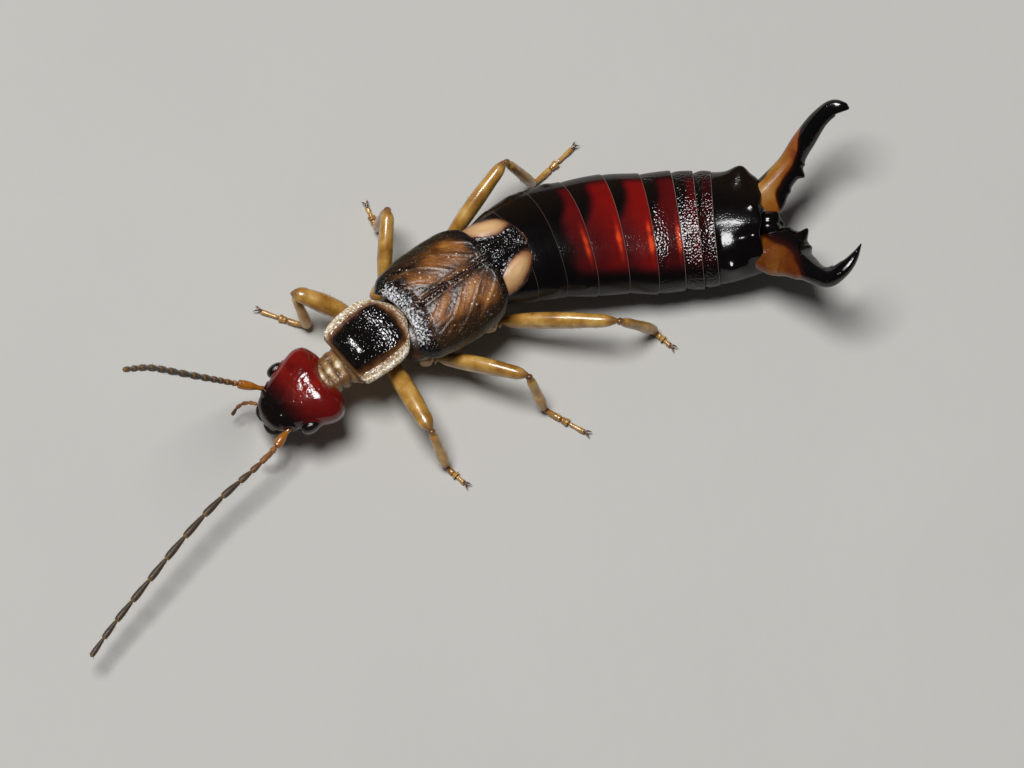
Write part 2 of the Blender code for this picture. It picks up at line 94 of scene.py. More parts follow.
def bodyFrame(at, pitch=0.0, heading=0.0):
    turn = Euler((0.0, math.radians(pitch), math.radians(heading))).to_matrix()
    return np.array(turn), np.array(at) + stance


ground = (np.eye(3), stance)


# Skins: points, faces and marks. A mark is a number at each point, which a material reads

def gridFaces(rows, columns, wrap=True):
    row, column = np.mgrid[0:rows - 1, 0:columns if wrap else columns - 1]
    here = row * columns + column
    beside = row * columns + (column + 1) % columns
    return np.stack([here, beside, beside + columns, here + columns], -1).reshape(-1, 4).tolist()


def closedSkin(rings, **marks):  # a skin through rings of points, closed at a point at each end
    rows, columns = rings.shape[:2]
    points = np.concatenate([rings.reshape(-1, 3), [rings[0].mean(0), rings[-1].mean(0)]])
    faces = gridFaces(rows, columns)
    first = rows * columns
    for column in range(columns):
        beside = (column + 1) % columns
        faces.append([beside, column, first])
        faces.append([first - columns + column, first - columns + beside, first + 1])
    spread = {}
    for mark, values in marks.items():
        values = np.broadcast_to(values, (rows, columns))
        spread[mark] = np.concatenate([values.ravel(), [values[0].mean(), values[-1].mean()]])
    return points, faces, spread


def plateSkin(top, thickness, **marks):  # a plate under a grid of points, stitched along its edge
    rows, columns = top.shape[:2]
    below = top.copy()
    below[..., 2] -= thickness
    count = rows * columns
    faces = gridFaces(rows, columns, wrap=False)
    faces += [[corner + count for corner in face[::-1]] for face in faces]
    grid = np.arange(count).reshape(rows, columns)
    edge = np.concatenate([grid[0, :-1], grid[:-1, -1], grid[-1, :0:-1], grid[:0:-1, 0]])
    for here, after in zip(edge.tolist(), np.roll(edge, -1).tolist()):
        faces.append([after, here, here + count, after + count])
    spread = {mark: np.tile(np.broadcast_to(values, (rows, columns)).ravel(), 2) for mark, values in marks.items()}
    return np.concatenate([top.reshape(-1, 3), below.reshape(-1, 3)]), faces, spread


def roundedRim(row, column, band, thickness):
    # how far a plate's face sinks and how thick it stays, near an edge of a grid counted from 0 to 1
    edge = np.minimum(np.minimum(row, 1 - row), np.minimum(column, 1 - column))
    swell = np.sqrt(1 - (1 - np.clip(edge / band, 0.0, 1.0)) ** 2)
    return thickness * 0.45 * (1 - swell), thickness * (0.1 + 0.9 * swell)


def gather(skins):  # several skins as one
    points, faces, marks, start = [], [], {}, 0
    for skinPoints, skinFaces, skinMarks in skins:
        points.append(skinPoints)
        faces += [[start + corner for corner in face] for face in skinFaces]
        for mark, values in skinMarks.items():
            marks.setdefault(mark, []).append(values)
        start += len(skinPoints)
    return np.concatenate(points), faces, {mark: np.concatenate(rows) for mark, rows in marks.items()}


def newPiece(name, skin, look, place=ground):
    points, faces, marks = skin
    turn, shift = place
    mesh = bpy.data.meshes.new(name)
    mesh.from_pydata(((points @ turn.T + shift) * mm).tolist(), [], faces)
    for mark, values in marks.items():
        mesh.attributes.new(mark, "FLOAT", "POINT").data.foreach_set("value", values.astype(np.float32))
    edit = bmesh.new()
    edit.from_mesh(mesh)
    bmesh.ops.recalc_face_normals(edit, faces=edit.faces)
    edit.to_mesh(mesh)
    edit.free()
    mesh.shade_smooth()
    mesh.materials.append(look)
    piece = bpy.data.objects.new(name, mesh)
    bpy.context.scene.collection.objects.link(piece)
    return piece


def tubeRings(path, across, up, columns=24, section=None):
    # rings round a path, across to the left of it and up, the section bent by a function of the angle
    ahead = np.gradient(path, axis=0)
    ahead /= np.linalg.norm(ahead, axis=1, keepdims=True)
    side = np.cross(ahead, (0.0, 0.0, 1.0))
    side /= np.linalg.norm(side, axis=1, keepdims=True)
    lift = np.cross(side, ahead)
    angle = 2 * math.pi * np.arange(columns) / columns
    out = np.reshape(across, (-1, 1)) * np.cos(angle)
    rise = np.reshape(up, (-1, 1)) * np.sin(angle)
    if section:
        out, rise = section(out, rise, angle)
    return path[:, None] + side[:, None] * out[..., None] + lift[:, None] * rise[..., None]


def handOver(piece, slot, *nodes):
    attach(piece, "root")
    if nodes:
        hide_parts(*nodes)


# Nodes, for materials and geometry alike

def fromHex(code):  # sRGB hex to the linear colour that the shaders work in
    channels = [int(code[i:i + 2], 16) / 255 for i in (1, 3, 5)]
    return tuple(c / 12.92 if c <= 0.04045 else ((c + 0.055) / 1.055) ** 2.4 for c in channels) + (1.0,)


def addNode(tree, kind, links=None, out=0, stops=None, **settings):
    # adds a node with its settings and links, and hands back its output; a kind with no prefix is a shader's
    prefix = "" if kind.startswith(("Geometry", "Function", "Node")) else "ShaderNode"
    node = tree.nodes.new(prefix + kind)
    for setting, value in settings.items():
        setattr(node, setting, value)
    for socket, value in (links or {}).items():
        if isinstance(value, bpy.types.NodeSocket):
            tree.links.new(value, node.inputs[socket])
        else:
            isColour = isinstance(value, str) and value.startswith("#")
            node.inputs[socket].default_value = fromHex(value) if isColour else value
    if stops:
        bar = node.color_ramp.elements
        while len(bar) < len(stops):
            bar.new(0.5)
        for stop, (place, colour) in zip(bar, stops):
            stop.position = place
            stop.color = fromHex(colour)
    return node.outputs[out] if node.outputs else node


def newLook(name, **sockets):  # a Principled material, its fixed values set on the shader itself
    look = bpy.data.materials.new(name)
    look.use_nodes = True
    for socket, value in sockets.items():
        look.node_tree.nodes["Principled BSDF"].inputs[socket.replace("_", " ")].default_value = value
    tree = look.node_tree
    spots = addNode(tree, "TexCoord", out="Object")
    return look, tree, addNode(tree, "VectorMath", {0: spots, "Scale": 1 / mm}, operation="SCALE")


def pits(tree, spots, spacing, depth, wide=0.35):  # round pits, one to a cell, as a height in mm
    cells = addNode(tree, "TexVoronoi", {"Vector": spots, "Scale": 1 / spacing, "Randomness": 0.9})
    return addNode(tree, "MapRange", {0: cells, 1: wide * 0.3, 2: wide, 3: -depth, 4: 0.0})


def ripples(tree, spots, size, depth, detail=2.0):  # uneven ground with blobs of that size, as a height in mm
    blobs = addNode(tree, "TexNoise", {"Vector": spots, "Scale": 0.6 / size, "Detail": detail})
    return addNode(tree, "Math", {0: blobs, 1: depth}, operation="MULTIPLY")


def specks(tree, spots, spacing, wide, share):  # 1 in small dots strewn one to a cell, in that share of the cells
    cells = addNode(tree, "TexVoronoi", {"Vector": spots, "Scale": 1 / spacing, "Randomness": 1.0}).node
    dot = addNode(tree, "MapRange", {0: cells.outputs["Distance"], 1: wide, 2: wide * 0.5})
    chosen = addNode(tree, "MapRange", {0: cells.outputs["Color"], 1: 1 - share, 2: 1.05 - share})
    return addNode(tree, "Math", {0: dot, 1: chosen}, operation="MULTIPLY")


def domes(tree, spots, spacing, height):  # low round swellings shoulder to shoulder, as a height in mm
    cells = addNode(tree, "TexVoronoi", {"Vector": spots, "Scale": 1 / spacing, "Randomness": 0.9})
    fall = addNode(tree, "Math", {0: cells, 1: cells}, operation="MULTIPLY")
    return addNode(tree, "Math", {0: fall, 1: -height}, operation="MULTIPLY")


def grains(tree, spots, size, low, high):  # uneven light and dark grains, from 0 to 1
    blobs = addNode(tree, "TexNoise", {"Vector": spots, "Scale": 0.6 / size, "Detail": 3.0})
    return addNode(tree, "MapRange", {0: blobs, 1: low, 2: high})


def wireLook(look, colour, roughness, *heights):  # heights are mm and add up in one bump, as deep as in life
    tree = look.node_tree
    shader = tree.nodes["Principled BSDF"]
    total = heights[0]
    for height in heights[1:]:
        total = addNode(tree, "Math", {0: total, 1: height}, operation="ADD")
    bump = addNode(tree, "Bump", {"Height": total, "Distance": mm})
    tree.links.new(bump, shader.inputs["Normal"])
    tree.links.new(bump, shader.inputs["Coat Normal"])
    tree.links.new(colour, shader.inputs["Base Color"])
    tree.links.new(roughness, shader.inputs["Roughness"])
    return look


# Geometry Nodes: joints strung on a path, facets of an eye, and bristles

def newTree(name, **inputs):  # a geometry tree whose named inputs have these socket types
    tree = bpy.data.node_groups.new(name, "GeometryNodeTree")
    tree.interface.new_socket("Geometry", in_out="INPUT", socket_type="NodeSocketGeometry")
    for label, kind in inputs.items():
        tree.interface.new_socket(label, in_out="INPUT", socket_type="NodeSocket" + kind)
    tree.interface.new_socket("Geometry", in_out="OUTPUT", socket_type="NodeSocketGeometry")
    return tree, tree.nodes.new("NodeGroupInput").outputs


def closeTree(tree, geometry, look):  # every tree ends the same way
    geometry = addNode(tree, "GeometryNodeRealizeInstances", {0: geometry})
    geometry = addNode(tree, "GeometryNodeSetShadeSmooth", {0: geometry})
    geometry = addNode(tree, "GeometryNodeSetMaterial", {0: geometry, "Material": look})
    tree.links.new(geometry, tree.nodes.new("NodeGroupOutput").inputs[0])


def growNodes(piece, tree, **inputs):  # runs a tree on a piece and keeps the result as plain mesh
    run = piece.modifiers.new(tree.name, "NODES")
    run.node_group = tree
    for socket in tree.interface.items_tree:
        if socket.in_out == "INPUT" and socket.name in inputs:
            run[socket.identifier] = inputs[socket.name]
    graph = bpy.context.evaluated_depsgraph_get()
    grown = bpy.data.meshes.new_from_object(piece.evaluated_get(graph), preserve_all_data_layers=True, depsgraph=graph)
    grown.name = piece.name
    piece.modifiers.clear()
    piece.data = grown
    return piece


def facetTree():  # each point of the ball becomes a six-sided lens
    tree, given = newTree("eyeFacets", Height="Float", Taper="Float", Look="Material")
    cells = addNode(tree, "GeometryNodeDualMesh", {0: given["Geometry"]})
    extrude = addNode(tree, "GeometryNodeExtrudeMesh", {0: cells, "Offset Scale": given["Height"]}).node
    lenses = addNode(tree, "GeometryNodeScaleElements",
                     {0: extrude.outputs["Mesh"], "Selection": extrude.outputs["Top"], "Scale": given["Taper"]})
    closeTree(tree, lenses, given["Look"])
    return tree


def jointTree():  # a club-shaped joint at each point, turned along its aim and stretched to its reach
    tree, given = newTree("strungJoints", Sides="Int", Rings="Int", Look="Material")
    line = addNode(tree, "GeometryNodeCurvePrimitiveLine", {"End": (0.0, 0.0, 1.0)})
    line = addNode(tree, "GeometryNodeResampleCurve", {0: line, "Count": given["Rings"]})
    place = addNode(tree, "GeometryNodeSplineParameter", out="Factor")
    line = addNode(tree, "GeometryNodeStoreNamedAttribute", {0: line, "Name": "along", "Value": place},
                   data_type="FLOAT", domain="POINT")
    girth = addNode(tree, "FloatCurve", {"Value": place})
    profile = girth.node.mapping.curves[0].points
    for at, wide in ((0.04, 0.55), (0.30, 0.78), (0.70, 1.0), (0.92, 0.88)):
        profile.new(at, wide)
    profile[0].location = (0.0, 0.35)
    profile[-1].location = (1.0, 0.30)
    girth.node.mapping.update()
    circle = addNode(tree, "GeometryNodeCurvePrimitiveCircle", {"Resolution": given["Sides"], "Radius": 1.0})
    joint = addNode(tree, "GeometryNodeCurveToMesh",
                    {0: line, "Profile Curve": circle, "Scale": girth, "Fill Caps": True})
    aim = addNode(tree, "GeometryNodeInputNamedAttribute", {"Name": "aim"}, data_type="FLOAT_VECTOR")
    turn = addNode(tree, "FunctionNodeAlignRotationToVector", {"Vector": aim}, axis="Z")
    size = addNode(tree, "GeometryNodeInputNamedAttribute", {"Name": "size"}, data_type="FLOAT_VECTOR")
    joints = addNode(tree, "GeometryNodeInstanceOnPoints",
                     {0: given["Geometry"], "Instance": joint, "Rotation": turn, "Scale": size})
    closeTree(tree, joints, given["Look"])
    return tree


def bristleTree():  # bent bristles, thickest at the root, thrown on a skin where its hairy mark is high
    tree, given = newTree("bristles", Density="Float", Length="Float", Thickness="Float", Lay="Float",
                          Seed="Int", Look="Material")
    hairy = addNode(tree, "GeometryNodeInputNamedAttribute", {"Name": "hairy"}, data_type="FLOAT")
    density = addNode(tree, "Math", {0: hairy, 1: given["Density"]}, operation="MULTIPLY")
    scatter = addNode(tree, "GeometryNodeDistributePointsOnFaces",
                      {0: given["Geometry"], "Density": density, "Seed": given["Seed"]}).node
    line = addNode(tree, "GeometryNodeCurveQuadraticBezier",
                   {"Resolution": 3, "Start": (0, 0, 0), "Middle": (0, 0, 0.6), "End": (0.22, 0, 1)})
    place = addNode(tree, "GeometryNodeSplineParameter", out="Factor")
    line = addNode(tree, "GeometryNodeStoreNamedAttribute", {0: line, "Name": "tuft", "Value": place},
                   data_type="FLOAT", domain="POINT")
    taper = addNode(tree, "MapRange", {0: place, 3: 1.0, 4: 0.12})
    stem = addNode(tree, "Math", {0: given["Thickness"], 1: given["Length"]}, operation="DIVIDE")
    circle = addNode(tree, "GeometryNodeCurvePrimitiveCircle", {"Resolution": 3, "Radius": stem})
    bristle = addNode(tree, "GeometryNodeCurveToMesh",
                      {0: line, "Profile Curve": circle, "Scale": taper, "Fill Caps": True})
    lean = addNode(tree, "GeometryNodeInputNamedAttribute", {"Name": "lean"}, data_type="FLOAT_VECTOR")
    lean = addNode(tree, "VectorMath", {0: lean, "Scale": given["Lay"]}, operation="SCALE")
    aim = addNode(tree, "VectorMath", {0: scatter.outputs["Normal"], 1: lean}, operation="ADD")
    turn = addNode(tree, "FunctionNodeAlignRotationToVector", {"Vector": aim}, axis="Z")
    spread = addNode(tree, "FunctionNodeRandomValue", {"Min": 0.6, "Max": 1.15, "Seed": given["Seed"]}, out=1)
    size = addNode(tree, "Math", {0: spread, 1: given["Length"]}, operation="MULTIPLY")
    hairs = addNode(tree, "GeometryNodeInstanceOnPoints",
                    {0: scatter.outputs["Points"], "Instance": bristle, "Rotation": turn, "Scale": size})
    hairs = addNode(tree, "GeometryNodeRealizeInstances", {0: hairs})
    root = addNode(tree, "GeometryNodeInputNamedAttribute", {"Name": "unwrap"}, data_type="FLOAT_VECTOR")
    tuft = addNode(tree, "GeometryNodeInputNamedAttribute", {"Name": "tuft"}, data_type="FLOAT")
    # each bristle is a patch 0.003 across at its root's place on the unwrapped skin
    patch = addNode(tree, "VectorMath", {0: tuft, 1: (0.003, 0.003, 0.0), 2: root}, operation="MULTIPLY_ADD")
    hairs = addNode(tree, "GeometryNodeStoreNamedAttribute", {0: hairs, "Name": "OFBake", "Value": patch},
                    data_type="FLOAT2", domain="CORNER")
    closeTree(tree, hairs, given["Look"])
    return tree


def strungJoints(name, path, string, look, tree, sidesOf, rings):
    # a string is rows of joint length, half width and warmth; the lengths are scaled to fill the path
    lengths, girths, warmth = np.array(string).T
    run = np.concatenate([[0.0], np.cumsum(np.linalg.norm(np.diff(path, axis=0), axis=1))])
    stops = np.concatenate([[0.0], np.cumsum(lengths)])
    stops *= run[-1] / stops[-1]
    at = np.stack([np.interp(stops, run, path[:, axis]) for axis in range(3)], -1)
    aims = np.diff(at, axis=0)
    overlap = 1.04
    sizes = np.stack([girths, girths, np.linalg.norm(aims, axis=1) * overlap], -1)
    piece = newPiece(name, (at[:-1], [], {"warmth": warmth}), look)
    for mark, rows in (("aim", aims), ("size", sizes * mm)):
        vectors = piece.data.attributes.new(mark, "FLOAT_VECTOR", "POINT")
        vectors.data.foreach_set("vector", rows.astype(np.float32).ravel())
    return growNodes(piece, tree, Sides=sidesOf, Rings=rings, Look=look)


print("Trees for facets, joints and bristles")
facets, joints, bristles = facetTree(), jointTree(), bristleTree()


# Head: tanned and polished cuticle, red behind and black in front

head = {
    "at": (-4.86, -4.02, 1.30),
    "pitch": -10,
    "heading": 30.5,
    "stations": (  # place along the head, half width, height, depth, push of the middle to the rear
        (-0.91, 0.04, 0.02, 0.05, 0.0),
        (-0.89, 0.26, 0.07, 0.20, -0.05),
        (-0.82, 0.40, 0.18, 0.30, -0.05),
        (-0.62, 0.53, 0.30, 0.38, -0.03),
        (-0.36, 0.66, 0.41, 0.43, 0.0),
        (-0.05, 0.79, 0.475, 0.46, 0.0),
        (0.25, 0.92, 0.505, 0.47, 0.0),
        (0.48, 0.97, 0.495, 0.46, -0.02),
        (0.70, 0.89, 0.42, 0.42, -0.09),
        (0.85, 0.62, 0.27, 0.30, -0.17),
        (0.87, 0.43, 0.17, 0.22, -0.20),
        (0.80, 0.26, 0.10, 0.14, -0.14),
    ),
    "grid": (210, 180),
    "eyeAt": (-0.10, 0.79, 0.06),
    "eyeRadii": (0.24, 0.15, 0.19),
    "socketAt": (-0.52, 0.53, 0.05),
    "sutureDepth": 0.014,
    "boxiness": 2.75,
}
headPlace = bodyFrame(head["at"], head["pitch"], head["heading"])


def redCuticle():  # sclerotised cuticle, tanned red over dark flesh: smooth as lacquer, see-through at the rim
    look, tree, spots = newLook("redCuticle", IOR=1.56, Coat_Weight=0.2, Coat_Roughness=0.08, Subsurface_Weight=0.12,
                                Subsurface_Radius=(1.0, 0.25, 0.15), Subsurface_Scale=0.12 * mm)
    along = addNode(tree, "Attribute", out="Fac", attribute_name="along")
    side = addNode(tree, "Attribute", out="Fac", attribute_name="side")
    crown = addNode(tree, "Attribute", out="Fac", attribute_name="crown")
    clouds = addNode(tree, "TexNoise", {"Vector": spots, "Scale": 2.2, "Detail": 3.0})
    red = addNode(tree, "ValToRGB", {0: clouds}, stops=((0.30, "#600b09"), (0.50, "#76110a"), (0.72, "#8a180b")))
    # painted shade: the red is painted darker towards the animal's left side, and the side term lets the black front
    # reach further back there
    shade = addNode(tree, "MapRange", {0: side, 1: 0.1, 2: -0.9}, interpolation_type="SMOOTHSTEP")
    red = addNode(tree, "Mix", {0: shade, 6: red, 7: "#690c0b"}, out=2, data_type="RGBA")
    edge = addNode(tree, "Math", {0: clouds, 1: 0.30, 2: along}, operation="MULTIPLY_ADD")
    edge = addNode(tree, "Math", {0: side, 1: 0.12, 2: edge}, operation="MULTIPLY_ADD")
    front = addNode(tree, "MapRange", {0: edge, 1: 0.44, 2: -0.42}, interpolation_type="SMOOTHSTEP")
    colour = addNode(tree, "Mix", {0: front, 6: red, 7: "#0e0506"}, out=2, data_type="RGBA")
    lip = addNode(tree, "MapRange", {0: along, 1: -0.78, 2: -0.90}, interpolation_type="SMOOTHSTEP")
    colour = addNode(tree, "Mix", {0: lip, 6: colour, 7: "#24170c"}, out=2, data_type="RGBA")
    wrinkles = ripples(tree, spots, 0.085, 0.034, 2.0)
    wrinkles = addNode(tree, "Math", {0: wrinkles, 1: crown}, operation="MULTIPLY")
    rough = addNode(tree, "MapRange", {0: clouds, 3: 0.10, 4: 0.20})
    return wireLook(look, colour, rough, wrinkles, ripples(tree, spots, 0.35, 0.006),
                    ripples(tree, spots, 0.05, 0.0015), pits(tree, spots, 0.16, 0.004, 0.14))


def headSkin():
    rows, columns = head["grid"]
    stations = np.array(head["stations"])
    at = np.linspace(0, len(stations) - 1, rows)
    x, half, above, below, push = smoothed(np.arange(len(stations)), stations, at).T[..., None]
    across, up = superOval(2 * math.pi * np.arange(columns) / columns, head["boxiness"])
    y = half * across
    z = np.where(up > 0, above, below) * up
    x = x + push * (1 - across**2)
    top, out = np.clip(up, 0, 1), np.abs(y)
    # the Y-shaped seam of the crown: a stem from the nape and two arms towards the feelers
    stem = bell(y, 0, 0.026) * fade(0.05, 0.25, x)
    ahead, aside = (-0.79, 0.61)
    run = (x - 0.12) * ahead + out * aside
    arm = bell((x - 0.12) * aside - out * ahead, 0, 0.018) * fade(0.0, 0.08, run) * fade(0.66, 0.5, run)
    z = z - top * head["sutureDepth"] * (stem + 0.5 * arm)
    z = z + top * 0.012 * bell(x, 0.45, 0.28) * bell(out, 0.42, 0.26)  # the temples
    z = z - top * 0.045 * bell(x, -0.44, 0.13) * bell(out, 0.26, 0.12)  # dents of the brow
    z = z + top * 0.03 * bell(x, -0.50, 0.12) * bell(out, 0, 0.12)
    z = z - top * 0.012 * bell(x + 0.3 * out**2, -0.66, 0.04)  # groove above the upper lip's plate
    socketX, socketY, socketZ = head["socketAt"]
    reach = np.sqrt((x - socketX) ** 2 + (out - socketY) ** 2 + (z - socketZ) ** 2)
    swell = 0.035 * bell(reach, 0.15, 0.045) - 0.06 * bell(reach, 0.0, 0.09)
    eyeX, eyeY, eyeZ = head["eyeAt"]
    lengthR, widthR, heightR = head["eyeRadii"]
    reach = np.sqrt(((x - eyeX) / lengthR) ** 2 + ((out - eyeY) / widthR) ** 2 + ((z - eyeZ) / heightR) ** 2)
    swell = swell + 0.03 * bell(reach, 1.15, 0.14)
    y = y + np.sign(y) * swell
    z = z + 0.4 * swell
    crown = top * bell(x, 0.34, 0.30) * bell(y, 0.03, 0.36)
    return closedSkin(np.stack([x, y, z], -1), along=x, side=y / 0.92, crown=crown)


def eyeLens():  # clear cuticle over black pigment
    look, tree, spots = newLook("eyeLens", IOR=1.56, Coat_Weight=0.6, Coat_Roughness=0.08)
    tint = addNode(tree, "TexNoise", {"Vector": spots, "Scale": 9.0})
    colour = addNode(tree, "ValToRGB", {0: tint}, stops=((0.35, "#050304"), (0.75, "#1c0c0a")))
    rough = addNode(tree, "MapRange", {0: tint, 3: 0.10, 4: 0.20})
    return wireLook(look, colour, rough, ripples(tree, spots, 0.03, 0.0006))


def facetedEye(side, look):
    edit = bmesh.new()
    bmesh.ops.create_icosphere(edit, subdivisions=4, radius=1.0)  # facets of 0.027 mm, near their real size
    points = np.array([vert.co for vert in edit.verts]) * head["eyeRadii"]
    points = points + np.array(head["eyeAt"]) * (1, sides[side], 1)
    faces = [[vert.index for vert in face.verts] for face in edit.faces]
    edit.free()
    eye = newPiece(side + "Eye", (points, faces, {}), look, headPlace)
    return growNodes(eye, facets, Height=0.0035 * mm, Taper=0.55, Look=look)


def hornyCuticle():  # thick dark cuticle of jaws and lip, worn smooth at the tips
    look, tree, spots = newLook("hornyCuticle", IOR=1.56, Coat_Weight=0.5, Coat_Roughness=0.12)
    tip = addNode(tree, "Attribute", out="Fac", attribute_name="along")
    mottle = addNode(tree, "TexNoise", {"Vector": spots, "Scale": 6.0, "Detail": 3.0})
    tip = addNode(tree, "Math", {0: mottle, 1: 0.4, 2: tip}, operation="MULTIPLY_ADD")
    colour = addNode(tree, "ValToRGB", {0: tip}, stops=((0.25, "#4c3018"), (0.60, "#2a170c"), (1.0, "#0e0706")))
    rough = addNode(tree, "MapRange", {0: mottle, 3: 0.22, 4: 0.42})
    return wireLook(look, colour, rough, ripples(tree, spots, 0.04, 0.003), pits(tree, spots, 0.07, 0.004))


mouth = {
    "lipHinge": -0.76,
    "lipLength": 0.19,
    "lipHalfWidth": 0.36,
    "jawPath": ((-0.55, 0.30, -0.20), (-0.78, 0.33, -0.24), (-0.93, 0.24, -0.27), (-0.99, 0.05, -0.28)),
    "jawGirth": (0.12, 0.13, 0.10, 0.03),
    "underLipPath": ((-0.50, 0, -0.38), (-0.72, 0, -0.40), (-0.90, 0, -0.38)),
}


def mouthSkin():
    row, column = np.meshgrid(crowded(40), crowded(50), indexing="ij")
    across = 2 * column - 1
    half = mouth["lipHalfWidth"] * smoothed((0, 0.12, 0.35, 1), (0.50, 0.78, 0.95, 1.0), row)
    x = mouth["lipHinge"] - mouth["lipLength"] * (1 - row) - 0.04 * (1 - across**2) * (1 - row)
    z = 0.14 - 0.27 * (1 - row) ** 1.4 - 0.12 * across**2
    sink, thick = roundedRim(row, column, 0.10, 0.07)
    lip = plateSkin(np.stack([x, half * across, z - sink], -1), thick, along=0.35 * row)
    parts = [lip]
    for sign in sides.values():
        path = alongPath(mouth["jawPath"], 30) * (1, sign, 1)
        girth = smoothed(range(4), mouth["jawGirth"], np.linspace(0, 3, 30))
        tipped = np.linspace(0, 1, 30)[:, None]
        parts.append(closedSkin(tubeRings(path, girth, girth * 0.7, 20), along=0.3 + 0.7 * tipped))
    path = alongPath(mouth["underLipPath"], 24)
    plump = np.sqrt(np.clip(1 - np.linspace(-1, 1, 24) ** 4, 0.02, 1))
    parts.append(closedSkin(tubeRings(path, 0.24 * plump, 0.07 * plump, 24), along=0.4))
    return gather(parts)


print("Head, eyes and mouth")
redLook, eyeLook, hornLook = redCuticle(), eyeLens(), hornyCuticle()
handOver(newPiece("headCapsule", headSkin(), redLook, headPlace), "head_cuticle", "head")
for side in sides:
    handOver(facetedEye(side, eyeLook), "eye", "eye_" + side)
handOver(newPiece("lipAndJaws", mouthSkin(), hornLook, headPlace), "mouth_cuticle", "mouthparts")


# Neck and first ring of the thorax: soft folded skin between hard plates

neck = {
    "path": ((-4.50, -3.80, 1.30), (-4.10, -3.50, 1.36), (-3.58, -3.12, 1.36)),
    "halfWidths": (0.36, 0.46, 0.52),
    "halfDepths": (0.26, 0.34, 0.38),
    "folds": 5.5,
    "foldDepth": 0.08,
}
prothorax = {
    "stations": (  # place, half width, height, depth
        (-0.74, 0.30, 0.14, 0.20),
        (-0.72, 0.46, 0.22, 0.30),
        (-0.50, 0.58, 0.29, 0.42),
        (0.20, 0.64, 0.32, 0.46),
        (0.62, 0.60, 0.31, 0.44),
        (0.66, 0.44, 0.22, 0.30),
    ),
    "middle": 1.08,
}


def jointMembrane():  # soft untanned skin, folded like a bellows, moist looking and see-through
    look, tree, spots = newLook("jointMembrane", IOR=1.50, Coat_Weight=0.35, Coat_Roughness=0.18,
                                Subsurface_Weight=0.35, Subsurface_Radius=(1.0, 0.6, 0.35),
                                Subsurface_Scale=0.15 * mm)
    fold = addNode(tree, "Attribute", out="Fac", attribute_name="fold")
    plate = addNode(tree, "Attribute", out="Fac", attribute_name="plate")
    mottle = addNode(tree, "TexNoise", {"Vector": spots, "Scale": 5.0, "Detail": 4.0})
    # painted light: the fold mark paints the creases dark as shade and the crests pale as highlight
    tone = addNode(tree, "Math", {0: mottle, 1: 0.5, 2: fold}, operation="MULTIPLY_ADD")
    tone = addNode(tree, "Math", {0: tone, 1: 0.8}, operation="MULTIPLY")
    skin = addNode(tree, "ValToRGB", {0: tone}, stops=(
        (0.22, "#2e1e10"), (0.42, "#7a5a34"), (0.60, "#a3804f"), (0.84, "#d8c8a6")))
    colour = addNode(tree, "Mix", {0: plate, 6: skin, 7: "#6d4520"}, out=2, data_type="RGBA")
    rough = addNode(tree, "MapRange", {0: mottle, 3: 0.24, 4: 0.42})
    return wireLook(look, colour, rough, ripples(tree, spots, 0.045, 0.022, 3.0), ripples(tree, spots, 0.12, 0.02))


def neckSkin():
    count, columns = 90, 72
    along = np.linspace(0, 1, count)[:, None]
    angle = 2 * math.pi * np.arange(columns) / columns
    path = alongPath(neck["path"], count)
    halfWidths = smoothed(range(3), neck["halfWidths"], 2 * along[:, 0])
    halfDepths = smoothed(range(3), neck["halfDepths"], 2 * along[:, 0])
    wander = along + 0.030 * np.sin(2 * angle + 1.0) + 0.012 * np.sin(5 * angle) + 0.005 * np.sin(13 * angle)
    fold = np.abs(np.sin(math.pi * neck["folds"] * wander)) ** 0.6
    sidePlate = bell(along, 0.50, 0.30) * bell(np.abs(np.cos(angle)), 0.72, 0.24) * fade(-0.1, 0.2, np.sin(angle))
    gullet = bell(np.cos(angle), 0.0, 0.16) * fade(0.2, 0.5, np.sin(angle))
    swell = 1 - neck["foldDepth"] * 2 * (1 - fold) * (1 - sidePlate) + 0.10 * sidePlate + 0.04 * gullet
    rings = tubeRings(path, halfWidths, halfDepths, columns)
    rings = path[:, None] + (rings - path[:, None]) * swell[..., None]
    # the fold mark goes on to the material as painted crease shade and crest highlight, paler still along the ridge on
    # top
    return closedSkin(rings, fold=fold * (0.50 + 0.4 * gullet), plate=sidePlate * 0.9)


def stationSkin(stations, middle, columns, power, **marks):  # a trunk ring through its stations
    stations = np.array(stations)
    at = np.linspace(0, len(stations) - 1, 14 * len(stations))
    x, half, above, below = smoothed(np.arange(len(stations)), stations, at).T[..., None]
    across, up = superOval(2 * math.pi * np.arange(columns) / columns, power)
    z = middle + np.where(up > 0, above, below) * up
    rings = np.stack(np.broadcast_arrays(x, half * across, z), -1)
    return rings, np.broadcast_to(x, rings.shape[:2]), np.broadcast_to(across, rings.shape[:2]), up


def legCuticle():  # thin amber cuticle over pale flesh: light goes in and comes out warm, joints tan darker
    look, tree, spots = newLook("legCuticle", IOR=1.54, Coat_Weight=0.8, Coat_Roughness=0.09,
                                Subsurface_Weight=0.45, Subsurface_Radius=(1.0, 0.55, 0.22),
                                Subsurface_Scale=0.16 * mm)
    joint = addNode(tree, "Attribute", out="Fac", attribute_name="joint")
    mottle = addNode(tree, "TexNoise", {"Vector": spots, "Scale": 3.0, "Detail": 3.0})
    amber = addNode(tree, "ValToRGB", {0: mottle}, stops=((0.30, "#966823"), (0.50, "#ba8b3c"), (0.72, "#d8b062")))
    stain = addNode(tree, "Math", {0: mottle, 1: -0.25, 2: joint}, operation="MULTIPLY_ADD")
    stain = addNode(tree, "MapRange", {0: stain, 1: 0.05, 2: 0.75})
    colour = addNode(tree, "Mix", {0: stain, 6: amber, 7: "#5a2c10"}, out=2, data_type="RGBA")
    rough = addNode(tree, "MapRange", {0: mottle, 3: 0.26, 4: 0.42})
    return wireLook(look, colour, rough, ripples(tree, spots, 0.025, 0.0010), pits(tree, spots, 0.09, 0.002, 0.2))


